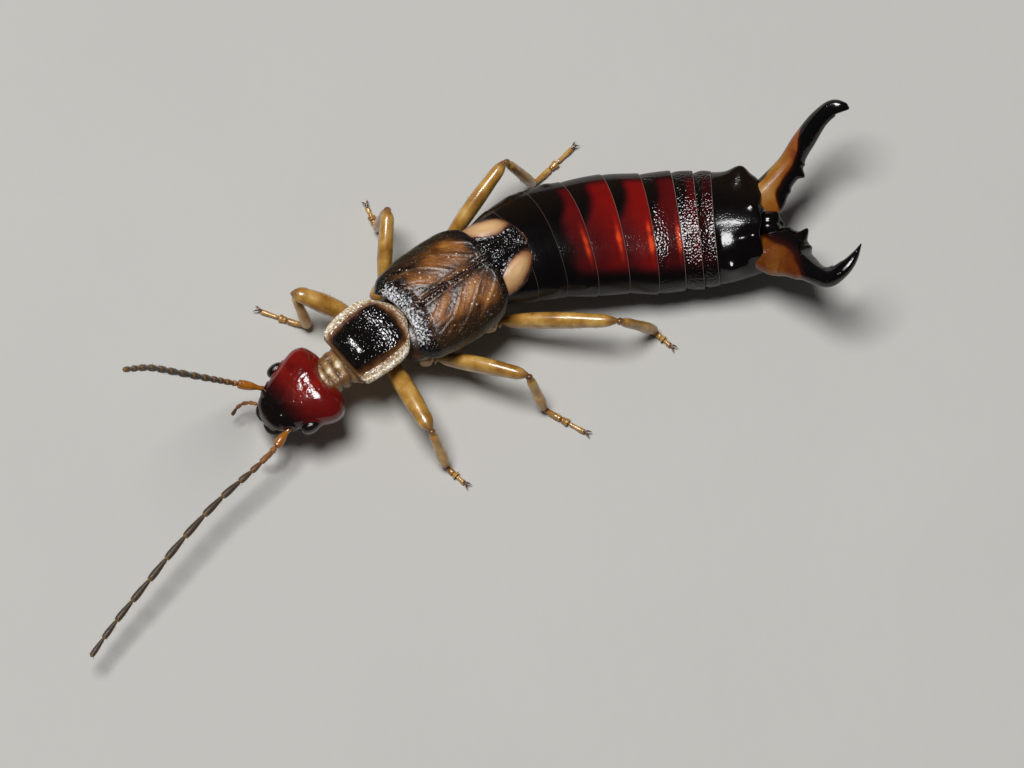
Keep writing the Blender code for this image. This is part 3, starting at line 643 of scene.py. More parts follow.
def flankCuticle():  # brown plates of the underside and flanks, satin from a fine leather grain
    look, tree, spots = newLook("flankCuticle", IOR=1.56, Coat_Weight=0.4, Coat_Roughness=0.14,
                                Subsurface_Weight=0.10, Subsurface_Radius=(1.0, 0.45, 0.2),
                                Subsurface_Scale=0.12 * mm)
    seam = addNode(tree, "Attribute", out="Fac", attribute_name="seam")
    mottle = addNode(tree, "TexNoise", {"Vector": spots, "Scale": 2.5, "Detail": 4.0})
    plate = addNode(tree, "ValToRGB", {0: mottle}, stops=((0.30, "#1c100a"), (0.55, "#3a2212"), (0.75, "#583619")))
    colour = addNode(tree, "Mix", {0: seam, 6: plate, 7: "#8a6b42"}, out=2, data_type="RGBA")
    rough = addNode(tree, "MapRange", {0: mottle, 3: 0.28, 4: 0.46})
    return wireLook(look, colour, rough, pits(tree, spots, 0.07, 0.004), ripples(tree, spots, 0.03, 0.004))


def prothoraxSkin():
    rings, x, across, up = stationSkin(prothorax["stations"], prothorax["middle"], 96, 2.6)
    under = fade(-0.2, -0.6, up)
    rings[..., 2] += 0.03 * under * bell(across, 0, 0.3)  # keel of the breast plate
    groove = bell(np.abs(across), 0.62, 0.05) * under
    rings[..., 2] += 0.03 * groove
    return closedSkin(rings, joint=0.25 + 0.5 * groove + 0.0 * x)


print("Neck and first ring")
pronotumPlace = bodyFrame((-3.23, -2.76, 0.0), heading=40)
wingPlace = bodyFrame((-2.43, -2.31, 0.0), heading=36)
membraneLook, legLook, flankLook = jointMembrane(), legCuticle(), flankCuticle()
handOver(newPiece("neckFolds", neckSkin(), membraneLook), "membrane", "neck")
handOver(newPiece("breastRing", prothoraxSkin(), legLook, pronotumPlace), "leg_cuticle", "prothorax")


# Shield of the first ring: a black cushion inside an amber band, with silvery turned-up margins

shield = {
    "top": 1.95,
    "ends": (-0.80, 0.68),
    "bows": (-0.04, 0.32),  # how far the middle of each end stands out
    "rows": (0.0, 0.05, 0.14, 0.30, 0.52, 0.74, 0.88, 0.96, 1.0),
    "halfWidths": (0.66, 0.78, 0.84, 0.88, 0.90, 0.88, 0.80, 0.66, 0.46),
    "sideDrop": 0.20,
    "endDrop": 0.12,
    "thickness": 0.15,
    "grid": (170, 170),
    "cushion": 0.15,  # height of the swollen front half
    "pitSpacing": 0.070,
    "pitDepth": 0.012,
}


def scattered(u, v, spacing, seed):  # how far each place is from the nearest of points strewn one to a cell
    strewn = np.random.default_rng(seed).uniform(0.1, 0.9, (64, 64, 2))
    cellU, cellV = (np.floor(row / spacing).astype(int) for row in (u, v))
    nearest = np.full(np.broadcast(u, v).shape, 9.0)
    for stepU in (-1, 0, 1):
        for stepV in (-1, 0, 1):
            at = strewn[(cellU + stepU) % 64, (cellV + stepV) % 64]
            away = np.hypot(u - (cellU + stepU + at[..., 0]) * spacing, v - (cellV + stepV + at[..., 1]) * spacing)
            nearest = np.minimum(nearest, away)
    return nearest


def shieldSkin():
    row, column = np.meshgrid(crowded(shield["grid"][0]), crowded(shield["grid"][1]), indexing="ij")
    across = 2 * column - 1
    half = smoothed(shield["rows"], shield["halfWidths"], row)
    (front, rear), (bowFront, bowRear) = shield["ends"], shield["bows"]
    x = front + (rear - front) * row + (bowFront + (bowRear - bowFront) * row) * (1 - across**2)
    y = half * across
    z = shield["top"] - shield["sideDrop"] * np.abs(across) ** 3 - shield["endDrop"] * np.abs(2 * row - 1) ** 4
    toSide = half * (1 - np.abs(across))
    toRear = (1 - row) * (rear - front + bowRear * (1 - across**2))
    toFront = row * (rear - front)
    inner = fade(0.16, 0.34, toSide) * fade(0.20, 0.46, toRear) * fade(0.02, 0.16, toFront)
    for lump in (-1, 1):  # the cushion is two soft lumps either side of the middle line
        z = z + shield["cushion"] * inner * 0.62 * bell(x, -0.42, 0.30) * bell(y, 0.20 * lump, 0.24)
    z = z + 0.30 * shield["cushion"] * inner
    z = z - 0.014 * bell(y, 0, 0.020) * inner * fade(-0.35, 0.1, x)  # the middle line
    z = z - 0.010 * bell(x + 0.25 * y**2, 0.20, 0.10) * inner  # the cross dent behind the cushion
    z = z - 0.035 * bell(toSide, 0.24, 0.05) * fade(0.05, 0.2, toFront)
    z = z + 0.045 * fade(0.10, 0.0, toSide) + 0.020 * fade(0.07, 0.0, toFront)  # turned-up edges
    behind = fade(-0.30, -0.02, x) * inner
    pit = bell(scattered(x, y, shield["pitSpacing"], 3), 0, 0.020)
    z = z - shield["pitDepth"] * pit * (0.12 + 0.88 * behind)
    sink, thickness = roundedRim(row, column, 0.05, shield["thickness"])
    return plateSkin(np.stack([x, y, z - sink], -1), thickness, toSide=toSide, toRear=toRear, toFront=toFront)


def shieldCuticle():  # black lacquer that thins to amber and then to clear silvery horn at the margin
    look, tree, spots = newLook("shieldCuticle", IOR=1.56, Coat_Weight=0.3, Coat_Roughness=0.10,
                                Subsurface_Weight=0.15, Subsurface_Radius=(1.0, 0.5, 0.25),
                                Subsurface_Scale=0.12 * mm)
    toSide = addNode(tree, "Attribute", out="Fac", attribute_name="toSide")
    toRear = addNode(tree, "Attribute", out="Fac", attribute_name="toRear")
    toFront = addNode(tree, "Attribute", out="Fac", attribute_name="toFront")
    mottle = addNode(tree, "TexNoise", {"Vector": spots, "Scale": 4.0, "Detail": 4.0})
    side = addNode(tree, "Math", {0: mottle, 1: 0.14, 2: toSide}, operation="MULTIPLY_ADD")
    rear = addNode(tree, "Math", {0: mottle, 1: 0.16, 2: toRear}, operation="MULTIPLY_ADD")
    bySide = addNode(tree, "ValToRGB", {0: side}, stops=(
        (0.04, "#a08763"), (0.16, "#c2a878"), (0.26, "#946c40"), (0.34, "#5e3a1a"), (0.41, "#2f160a"), (0.47, "#0a0605")))
    byRear = addNode(tree, "ValToRGB", {0: rear}, stops=(
        (0.05, "#957247"), (0.12, "#7a5a34"), (0.22, "#9c7850"), (0.33, "#7e5630"), (0.41, "#33190b"), (0.48, "#0a0605")))
    colour = addNode(tree, "Mix", {0: 1.0, 6: bySide, 7: byRear}, out=2, data_type="RGBA", blend_type="LIGHTEN")
    # the rough margin is full of little facets and dark hollows; the light its facets catch is painted as near-white
    # specks, painted glints, on the margin and the rear band
    paintedGlintZone = addNode(tree, "MapRange", {0: side, 1: 0.30, 2: 0.20})
    behind = addNode(tree, "MapRange", {0: rear, 1: 0.34, 2: 0.24, 4: 0.6})
    paintedGlintZone = addNode(tree, "Math", {0: paintedGlintZone, 1: behind}, operation="MAXIMUM")
    facets = grains(tree, spots, 0.028, 0.44, 0.58)
    facets = addNode(tree, "Math", {0: facets, 1: paintedGlintZone}, operation="MULTIPLY")
    colour = addNode(tree, "Mix", {0: facets, 6: colour, 7: "#f4ecdc"}, out=2, data_type="RGBA")
    lip = addNode(tree, "MapRange", {0: toFront, 1: 0.07, 2: 0.02})
    colour = addNode(tree, "Mix", {0: lip, 6: colour, 7: "#6e4c2c"}, out=2, data_type="RGBA")
    rough = addNode(tree, "MapRange", {0: side, 1: 0.1, 2: 0.45, 3: 0.26, 4: 0.15})
    margin = addNode(tree, "MapRange", {0: side, 1: 0.22, 2: 0.40, 3: 1.0, 4: 0.12})
    glitter = addNode(tree, "Math", {0: ripples(tree, spots, 0.055, 0.040, 1.0), 1: margin}, operation="MULTIPLY")
    return wireLook(look, colour, rough, glitter, pits(tree, spots, 0.060, 0.005, 0.4))


print("Shield")
handOver(newPiece("shieldPlate", shieldSkin(), shieldCuticle(), pronotumPlace), "pronotum_cuticle", "pronotum")


# Wing covers: short leather flaps that meet at a seam along the back

covers = {
    "top": 2.22,
    "rows": (0.0, 0.07, 0.26, 0.50, 0.74, 0.92, 1.0),
    "halfWidths": (0.92, 1.10, 1.25, 1.31, 1.30, 1.20, 1.00),
    "innerEdges": {"left": -0.035, "right": 0.004},  # the left cover laps over the right one
    "lap": {"left": 0.012, "right": -0.010},
    "length": 2.40,
    "rearCut": 0.20,  # how much shorter the outer side is
    "shoulder": 0.22,  # how far the shoulder reaches forward of the seam
    "sideDrop": 0.34,
    "frontDrop": (0.12, 0.42),
    "thickness": 0.14,
    "grid": (230, 150),
    "veins": (  # knots of each vein, along and out from the seam; all run inwards to the rear
        ((0.28, 1.16), (0.95, 1.00), (1.50, 0.66), (2.05, 0.22)),
        ((0.28, 0.90), (0.84, 0.74), (1.20, 0.47), (1.52, 0.12)),
        ((0.26, 0.54), (0.62, 0.38), (0.95, 0.10)),
        ((1.02, 1.20), (1.66, 0.92), (2.20, 0.52)),
    ),
    "veinSize": (0.005, 0.024),  # height, half width
    "lobes": (  # ends of each swollen fold between the veins, half width, height
        ((0.82, 0.84), (2.00, 0.16), 0.17, 0.015),
        ((0.42, 0.68), (1.12, 0.16), 0.14, 0.013),
        ((1.50, 0.92), (2.16, 0.46), 0.12, 0.010),
    ),
}


def coverSkin(side):
    sign = sides[side]
    row, column = np.meshgrid(crowded(covers["grid"][0]), crowded(covers["grid"][1]), indexing="ij")
    half = smoothed(covers["rows"], covers["halfWidths"], row)
    inner = covers["innerEdges"][side]
    y = inner + (half - inner) * column
    front = -covers["shoulder"] * np.clip(y / 0.85, 0, 1) ** 2
    rear = covers["length"] - covers["rearCut"] * np.clip(y, 0, 2) ** 2
    x = front + (rear - front) * row
    drop, reach = covers["frontDrop"]
    z = covers["top"] - drop * np.exp(-(x + 0.1) / reach) - covers["sideDrop"] * (np.clip(y, 0, 2) / 1.27) ** 3
    part = y / half
    fromFront = x - front
    height, wide = covers["veinSize"]
    vein = 0 * x
    for knots in covers["veins"]:
        away, along = nearCurve(x, y, knots)
        vein = np.maximum(vein, bell(away, 0, wide) * fade(0.0, 0.12, along) * fade(1.0, 0.85, along))
        z = z - 0.5 * height * bell(away, 2.6 * wide, 1.2 * wide)
    z = z + height * vein
    bronzeAndSheen = 0 * x
    for start, end, wideLobe, swell in covers["lobes"]:
        away, along = nearCurve(x, y, (start, end))
        lobe = bell(away, 0, wideLobe) * fade(-0.05, 0.3, along) * fade(1.05, 0.7, along)
        bronzeAndSheen = bronzeAndSheen + lobe
        z = z + swell * lobe
    z = z + 0.035 * bell(part, 0.70, 0.20) * bell(fromFront, 0.20, 0.20)  # the shoulder knob
    z = z - 0.020 * bell(fromFront, 0.48, 0.10) * fade(1.0, 0.7, part)
    z = z + 0.012 * bell(y, 0.040, 0.030) - 0.012 * bell(y, 0.12, 0.05)  # ridge of the seam
    z = z + 0.010 * np.sin(7.0 * x + 6.0 * part) * np.sin(9.5 * part + 2.2 * x) * fade(0.2, 0.5, row)
    z = z - 0.10 * fade(0.90, 1.0, part) ** 2  # outer edge turned down
    z = z - 0.04 * fade(0.93, 1.0, row)
    tick = bell(scattered(x, y, 0.062, 11 + sign), 0, 0.018)
    crowd = 0.10 + fade(0.50, 0.25, fromFront) + 0.8 * bell(y, 0.03, 0.07) + 0.8 * fade(0.30, 0.10, rear - x)
    z = z + 0.008 * tick * np.minimum(crowd, 1)
    z = z + covers["lap"][side] * bell(y, 0, 0.12)
    sink, thickness = roundedRim(row, column, 0.022, covers["thickness"])
    marks = {"fromFront": fromFront, "part": part, "along": x, "out": y, "toRear": rear - x, "bronzeAndSheen": bronzeAndSheen,
             "vein": vein, "sign": sign + 0 * x}
    return plateSkin(np.stack([x, sign * y, z - sink], -1), thickness, **marks)


def coverLeather():  # tanned wing cover, thin as leather and clear as horn: the raised folds are lighter golden brown, partly painted sheen, and the black shoulder carries painted glints
    look, tree, spots = newLook("coverLeather", IOR=1.54, Specular_IOR_Level=0.33, Coat_Weight=0.05, Coat_Roughness=0.15, Sheen_Weight=0.02,
                                Sheen_Roughness=0.4, Subsurface_Weight=0.10,
                                Subsurface_Radius=(1.0, 0.5, 0.25), Subsurface_Scale=0.10 * mm)
    fromFront = addNode(tree, "Attribute", out="Fac", attribute_name="fromFront")
    part = addNode(tree, "Attribute", out="Fac", attribute_name="part")
    along = addNode(tree, "Attribute", out="Fac", attribute_name="along")
    out = addNode(tree, "Attribute", out="Fac", attribute_name="out")
    toRear = addNode(tree, "Attribute", out="Fac", attribute_name="toRear")
    bronzeAndSheen = addNode(tree, "Attribute", out="Fac", attribute_name="bronzeAndSheen")
    vein = addNode(tree, "Attribute", out="Fac", attribute_name="vein")
    sign = addNode(tree, "Attribute", out="Fac", attribute_name="sign")
    flat = addNode(tree, "CombineXYZ", {"X": along, "Y": out, "Z": sign})
    turned = addNode(tree, "Mapping", {0: flat, "Rotation": (0, 0, math.radians(-28)), "Scale": (0.32, 0.10, 0.10)},
                     vector_type="TEXTURE")  # wrinkles about 0.3 mm long and 0.1 mm wide
    streaks = addNode(tree, "TexNoise", {"Vector": turned, "Scale": 1.0, "Detail": 4.0, "Distortion": 0.8})
    broad = addNode(tree, "Mapping", {0: flat, "Rotation": (0, 0, math.radians(-28)), "Scale": (0.80, 0.30, 0.30)},
                    vector_type="TEXTURE")
    clouds = addNode(tree, "TexNoise", {"Vector": broad, "Scale": 1.0, "Detail": 3.0, "Distortion": 0.5})
    tone = addNode(tree, "Math", {0: clouds, 1: 0.60}, operation="MULTIPLY")
    tone = addNode(tree, "Math", {0: streaks, 1: 0.30, 2: tone}, operation="MULTIPLY_ADD")
    tone = addNode(tree, "Math", {0: tone, 1: 0.06}, operation="ADD")
    # the raised folds are toned lighter, partly their own golden brown and partly painted sheen
    tone = addNode(tree, "Math", {0: bronzeAndSheen, 1: 0.26, 2: tone}, operation="MULTIPLY_ADD")
    colour = addNode(tree, "ValToRGB", {0: tone}, stops=(
        (0.40, "#170e07"), (0.51, "#38210f"), (0.61, "#633912"), (0.74, "#8c541b"), (0.92, "#b07c36")))
    veinNear = addNode(tree, "Math", {0: vein, 1: streaks}, operation="MULTIPLY")
    veinNear = addNode(tree, "MapRange", {0: veinNear, 1: 0.30, 2: 0.80})
    colour = addNode(tree, "Mix", {0: veinNear, 6: colour, 7: "#a37c4c"}, out=2, data_type="RGBA")
    edge = addNode(tree, "Math", {0: clouds, 1: 0.30, 2: part}, operation="MULTIPLY_ADD")
    band = addNode(tree, "MapRange", {0: edge, 1: 0.84, 2: 1.04}, interpolation_type="SMOOTHSTEP")
    colour = addNode(tree, "Mix", {0: band, 6: colour, 7: "#2a1e10"}, out=2, data_type="RGBA")
    rim = addNode(tree, "MapRange", {0: part, 1: 0.955, 2: 0.985}, interpolation_type="SMOOTHSTEP")
    colour = addNode(tree, "Mix", {0: rim, 6: colour, 7: "#4d3f20"}, out=2, data_type="RGBA")
    ahead = addNode(tree, "Math", {0: streaks, 1: 0.30, 2: fromFront}, operation="MULTIPLY_ADD")
    dark = addNode(tree, "MapRange", {0: ahead, 1: 0.66, 2: 0.40}, interpolation_type="SMOOTHSTEP")
    colour = addNode(tree, "Mix", {0: dark, 6: colour, 7: "#0d0a0b"}, out=2, data_type="RGBA")
    seamNear = addNode(tree, "Math", {0: streaks, 1: 0.16, 2: out}, operation="MULTIPLY_ADD")
    crack = addNode(tree, "MapRange", {0: seamNear, 1: 0.17, 2: 0.10}, interpolation_type="SMOOTHSTEP")
    colour = addNode(tree, "Mix", {0: crack, 6: colour, 7: "#2b0f0a"}, out=2, data_type="RGBA")
    tail = addNode(tree, "Math", {0: clouds, 1: 0.40, 2: toRear}, operation="MULTIPLY_ADD")
    tail = addNode(tree, "MapRange", {0: tail, 1: 0.56, 2: 0.30}, interpolation_type="SMOOTHSTEP")
    colour = addNode(tree, "Mix", {0: tail, 6: colour, 7: "#150b08"}, out=2, data_type="RGBA")
    # painted glints: near-white specks on the coarse shoulder stand for the light its facets throw, and pale specks
    # elsewhere and along the seam stand for glints off bristle sockets and tiny beads
    paintedGlintZone = addNode(tree, "MapRange", {0: ahead, 1: 0.74, 2: 0.16})
    aside = addNode(tree, "MapRange", {0: edge, 1: 1.02, 2: 0.86})
    paintedGlintZone = addNode(tree, "Math", {0: paintedGlintZone, 1: aside}, operation="MULTIPLY")
    facets = grains(tree, spots, 0.028, 0.30, 0.70)
    facets = addNode(tree, "Math", {0: paintedGlintZone, 1: 0.66, 2: facets}, operation="MULTIPLY_ADD")
    facets = addNode(tree, "MapRange", {0: facets, 1: 0.93, 2: 1.28, 4: 0.9})
    colour = addNode(tree, "Mix", {0: facets, 6: colour, 7: "#e6e4e6"}, out=2, data_type="RGBA")
    sockets = addNode(tree, "Math", {0: specks(tree, spots, 0.120, 0.20, 0.45), 1: band}, operation="SUBTRACT")
    beads = addNode(tree, "MapRange", {0: out, 1: 0.15, 2: 0.10})
    beads = addNode(tree, "Math", {0: specks(tree, spots, 0.075, 0.30, 0.50), 1: beads}, operation="MULTIPLY")
    sockets = addNode(tree, "Math", {0: sockets, 1: beads}, operation="MAXIMUM")
    sockets = addNode(tree, "MapRange", {0: sockets})
    colour = addNode(tree, "Mix", {0: sockets, 6: colour, 7: "#dccdb8"}, out=2, data_type="RGBA")
    rough = addNode(tree, "MapRange", {0: tone, 1: 0.4, 2: 0.9, 3: 0.26, 4: 0.40})
    wrinkles = addNode(tree, "Math", {0: streaks, 1: 0.009}, operation="MULTIPLY")
    bare = addNode(tree, "MapRange", {0: dark, 3: 0.14, 4: 0.7})
    glitter = addNode(tree, "Math", {0: ripples(tree, spots, 0.055, 0.045, 1.0), 1: bare}, operation="MULTIPLY")
    return wireLook(look, colour, rough, wrinkles, glitter, pits(tree, spots, 0.070, 0.007, 0.3))


print("Wing covers")
coverLook = coverLeather()
for side in sides:
    handOver(newPiece(side + "WingCover", coverSkin(side), coverLook, wingPlace), "wing_cover", "tegmen_" + side)


# Wing scales: the horny tips of the folded hind wings, each with a pale oval

scales = {
    "ends": (2.14, 3.34),
    "rows": (0.0, 0.40, 0.65, 0.85, 0.96, 1.0),
    "halfWidths": (0.94, 0.95, 0.88, 0.72, 0.52, 0.34),
    "innerEdges": {"left": -0.05, "right": 0.02},
    "lap": {"left": 0.016, "right": -0.012},
    "bow": 0.10,
    "top": 2.19,
    "rearDrop": 0.12,
    "sideDrop": 0.32,
    "thickness": 0.11,
    "grid": (140, 110),
    "ovalAt": (2.67, 0.64),
    "ovalSize": (0.55, 0.235),
    "ovalLean": 24.0,  # degrees that the oval leans inwards to the rear
}


def scaleSkin(side):
    sign = sides[side]
    row, column = np.meshgrid(crowded(scales["grid"][0]), crowded(scales["grid"][1]), indexing="ij")
    half = smoothed(scales["rows"], scales["halfWidths"], row)
    inner = scales["innerEdges"][side]
    y = inner + (half - inner) * column
    front, rear = scales["ends"]
    out = np.clip(y, 0, 2)
    x = front + (rear - 0.10 - front) * row + scales["bow"] * row * (1 - (out / half) ** 2)
    z = scales["top"] - scales["rearDrop"] * row**2 - scales["sideDrop"] * (out / 0.95) ** 3
    lean = math.radians(scales["ovalLean"])
    awayX, awayY = x - scales["ovalAt"][0], y - scales["ovalAt"][1]
    length = awayX * math.cos(lean) - awayY * math.sin(lean)
    width = awayX * math.sin(lean) + awayY * math.cos(lean)
    oval = np.sqrt((length / scales["ovalSize"][0]) ** 2 + (width / scales["ovalSize"][1]) ** 2)
    rugged = fade(1.0, 1.35, oval)
    z = z + 0.05 * fade(1.15, 0.3, oval) - 0.04 * bell(oval, 1.35, 0.2)
    z = z + rugged * (0.020 * np.sin(9 * x + 3 * y) * np.sin(11 * y + 2 * sign) + 0.035 * bell(y, 0.20, 0.07))
    grain = bell(scattered(x, y, 0.055, 21 + sign), 0, 0.018) * rugged
    z = z + 0.014 * grain + scales["lap"][side] * bell(y, 0, 0.12)
    sink, thickness = roundedRim(row, column, 0.05, scales["thickness"])
    fringe = fade(0.10, 0.02, 1 - row) * fade(0.9, 1.3, oval)
    return plateSkin(np.stack([x, sign * y, z - sink], -1), thickness, oval=oval, fringe=fringe)


def scaleHorn():  # pale waxy horn, almost see-through, set in rough black cuticle
    look, tree, spots = newLook("scaleHorn", IOR=1.54, Coat_Weight=0.12, Coat_Roughness=0.20,
                                Subsurface_Weight=0.20, Subsurface_Radius=(1.0, 0.65, 0.4),
                                Subsurface_Scale=0.12 * mm)
    oval = addNode(tree, "Attribute", out="Fac", attribute_name="oval")
    fringe = addNode(tree, "Attribute", out="Fac", attribute_name="fringe")
    mottle = addNode(tree, "TexNoise", {"Vector": spots, "Scale": 3.5, "Detail": 4.0})
    reach = addNode(tree, "Math", {0: mottle, 1: 0.35, 2: oval}, operation="MULTIPLY_ADD")
    reach = addNode(tree, "Math", {0: reach, 1: 0.5}, operation="MULTIPLY")
    colour = addNode(tree, "ValToRGB", {0: reach}, stops=(
        (0.15, "#e2b884"), (0.40, "#cc9f6e"), (0.53, "#9c6c46"), (0.60, "#4a2716"), (0.68, "#0d0908")))
    stain = addNode(tree, "Math", {0: fringe, 1: mottle}, operation="MULTIPLY")
    stain = addNode(tree, "MapRange", {0: stain, 1: 0.30, 2: 0.55})
    colour = addNode(tree, "Mix", {0: stain, 6: colour, 7: "#6a3a1a"}, out=2, data_type="RGBA")
    # painted glints: pale bluish specks on the rough black cuticle stand for the light its facets throw
    black = addNode(tree, "MapRange", {0: reach, 1: 0.66, 2: 0.72})
    facets = addNode(tree, "Math", {0: specks(tree, spots, 0.085, 0.36, 0.30), 1: black}, operation="MULTIPLY")
    colour = addNode(tree, "Mix", {0: facets, 6: colour, 7: "#b8bcca"}, out=2, data_type="RGBA")
    rough = addNode(tree, "MapRange", {0: reach, 1: 0.4, 2: 0.7, 3: 0.52, 4: 0.20})
    rugged = addNode(tree, "MapRange", {0: reach, 1: 0.55, 2: 0.70, 3: 0.06, 4: 1.0})
    glitter = addNode(tree, "Math", {0: ripples(tree, spots, 0.055, 0.045, 1.0), 1: rugged}, operation="MULTIPLY")
    return wireLook(look, colour, rough, glitter, ripples(tree, spots, 0.05, 0.004))


print("Wing scales")
scaleLook = scaleHorn()
for side in sides:
    handOver(newPiece(side + "WingScale", scaleSkin(side), scaleLook, wingPlace), "wing_scale", "wing_scale_" + side)


# Thorax under the wings

thorax = {
    "stations": (
        (-0.40, 0.44, 0.24, 0.28),
        (-0.34, 0.62, 0.34, 0.40),
        (-0.10, 0.86, 0.42, 0.48),
        (0.60, 1.00, 0.46, 0.52),
        (1.50, 1.02, 0.46, 0.52),
        (2.10, 0.90, 0.42, 0.48),
        (2.20, 0.66, 0.30, 0.34),
    ),
    "middle": 1.14,
    "seams": (-0.02, 0.56, 1.28, 1.86),
}


def thoraxSkin():
    rings, x, across, up = stationSkin(thorax["stations"], thorax["middle"], 140, 2.6)
    seam = sum(bell(x - 0.12 * np.abs(across), place, 0.035) for place in thorax["seams"])
    flank = bell(np.abs(up), 0.35, 0.05) * fade(0.5, 0.9, np.abs(across))
    seam = np.clip(seam * fade(0.6, 0.1, up) + flank, 0, 1)
    middle = rings.mean(1, keepdims=True)
    rings = middle + (rings - middle) * (1 - 0.05 * seam[..., None])
    return closedSkin(rings, seam=0.8 * seam)


print("Thorax")
handOver(newPiece("thoraxRings", thoraxSkin(), flankLook, wingPlace), "belly_cuticle", "thorax")


# Abdomen: hard rings that slide into each other, black and crimson

abdomen = {
    "rings": (  # centre, heading, slope down to the rear, half width, height, depth
        (-0.64, -1.03, 1.26, 34.0, 12.0, 0.88, 0.68, 0.52),
        (0.05, -0.62, 1.28, 27.0, 13.0, 1.18, 0.72, 0.62),
        (0.77, -0.30, 1.21, 21.0, 12.0, 1.33, 0.74, 0.70),
        (1.55, -0.14, 1.12, 17.0, 10.0, 1.41, 0.76, 0.74),
        (2.36, 0.02, 1.04, 12.5, 8.0, 1.45, 0.76, 0.76),
        (3.11, 0.05, 0.98, 9.5, 6.0, 1.46, 0.76, 0.76),
        (3.78, 0.14, 0.95, 7.5, 3.0, 1.44, 0.75, 0.74),
        (4.27, 0.15, 0.97, 5.5, -2.0, 1.41, 0.75, 0.72),
        (4.67, 0.16, 1.04, 4.0, -5.0, 1.35, 0.76, 0.68),
        (5.74, 0.07, 1.19, 1.5, -7.0, 1.06, 0.76, 0.56),
    ),
    "profile": (  # part of a ring's length, share of the full girth
        (-0.16, 0.86), (-0.10, 0.925), (0.0, 0.955), (0.25, 0.985), (0.60, 1.0),
        (0.92, 1.006), (0.985, 1.004), (1.0, 0.992), (0.985, 0.965), (0.93, 0.945),
    ),
    "lastProfile": (
        (-0.06, 0.92), (0.0, 0.985), (0.06, 0.998), (0.30, 1.005), (0.60, 0.995),
        (0.88, 0.965), (0.97, 0.94), (1.0, 0.90), (0.97, 0.82), (0.93, 0.50),
    ),
    "columns": 300,
    "pitSpacing": 0.060,
    "pitDepth": 0.005,
    "gland": 0.03,
    "belly": 0.035,  # belly plates tuck in under the back plates
}
dyesAndGlow = {  # red in front, red behind, where it changes, orange streak of painted glow, light rear rim, sparkling pits
    "1_2": (0.0, 0.0, 0.5, 0.0, 0.35, 0.08),
    "3": (0.0, 0.0, 0.5, 0.0, 0.35, 0.06),
    "4": (0.0, 0.66, 0.73, 0.70, 0.45, 0.06),
    "5": (0.60, 0.95, 0.45, 0.9, 0.5, 0.08),
    "6": (0.62, 1.0, 0.42, 1.0, 0.5, 0.10),
    "7": (0.38, 0.60, 0.40, 1.0, 0.8, 0.42),
    "8": (0.38, 0.50, 0.5, 0.3, 1.0, 1.0),
    "9": (0.28, 0.34, 0.5, 0.0, 0.6, 0.9),
    "10": (0.0, 0.0, 0.5, 0.0, 0.0, 0.20),
}
knobs = (  # place, push, width of the knobs and swellings on the last ring
    ((5.24, 1.10, 1.58), (0.02, 0.27, 0.16), 0.26),
    ((5.06, 1.14, 1.50), (0.0, 0.15, 0.07), 0.42),
    ((5.52, 1.00, 1.50), (0.02, 0.13, 0.05), 0.25),
    ((5.04, -1.08, 1.50), (0.0, -0.06, 0.17), 0.21),
    ((5.44, 0.46, 1.96), (0.03, 0.0, 0.075), 0.12),
    ((5.46, -0.36, 1.96), (0.04, 0.0, 0.12), 0.19),
    ((5.16, -0.42, 1.97), (0.02, 0.0, 0.06), 0.13),
    ((5.50, -0.80, 1.78), (0.03, -0.04, 0.04), 0.15),
)


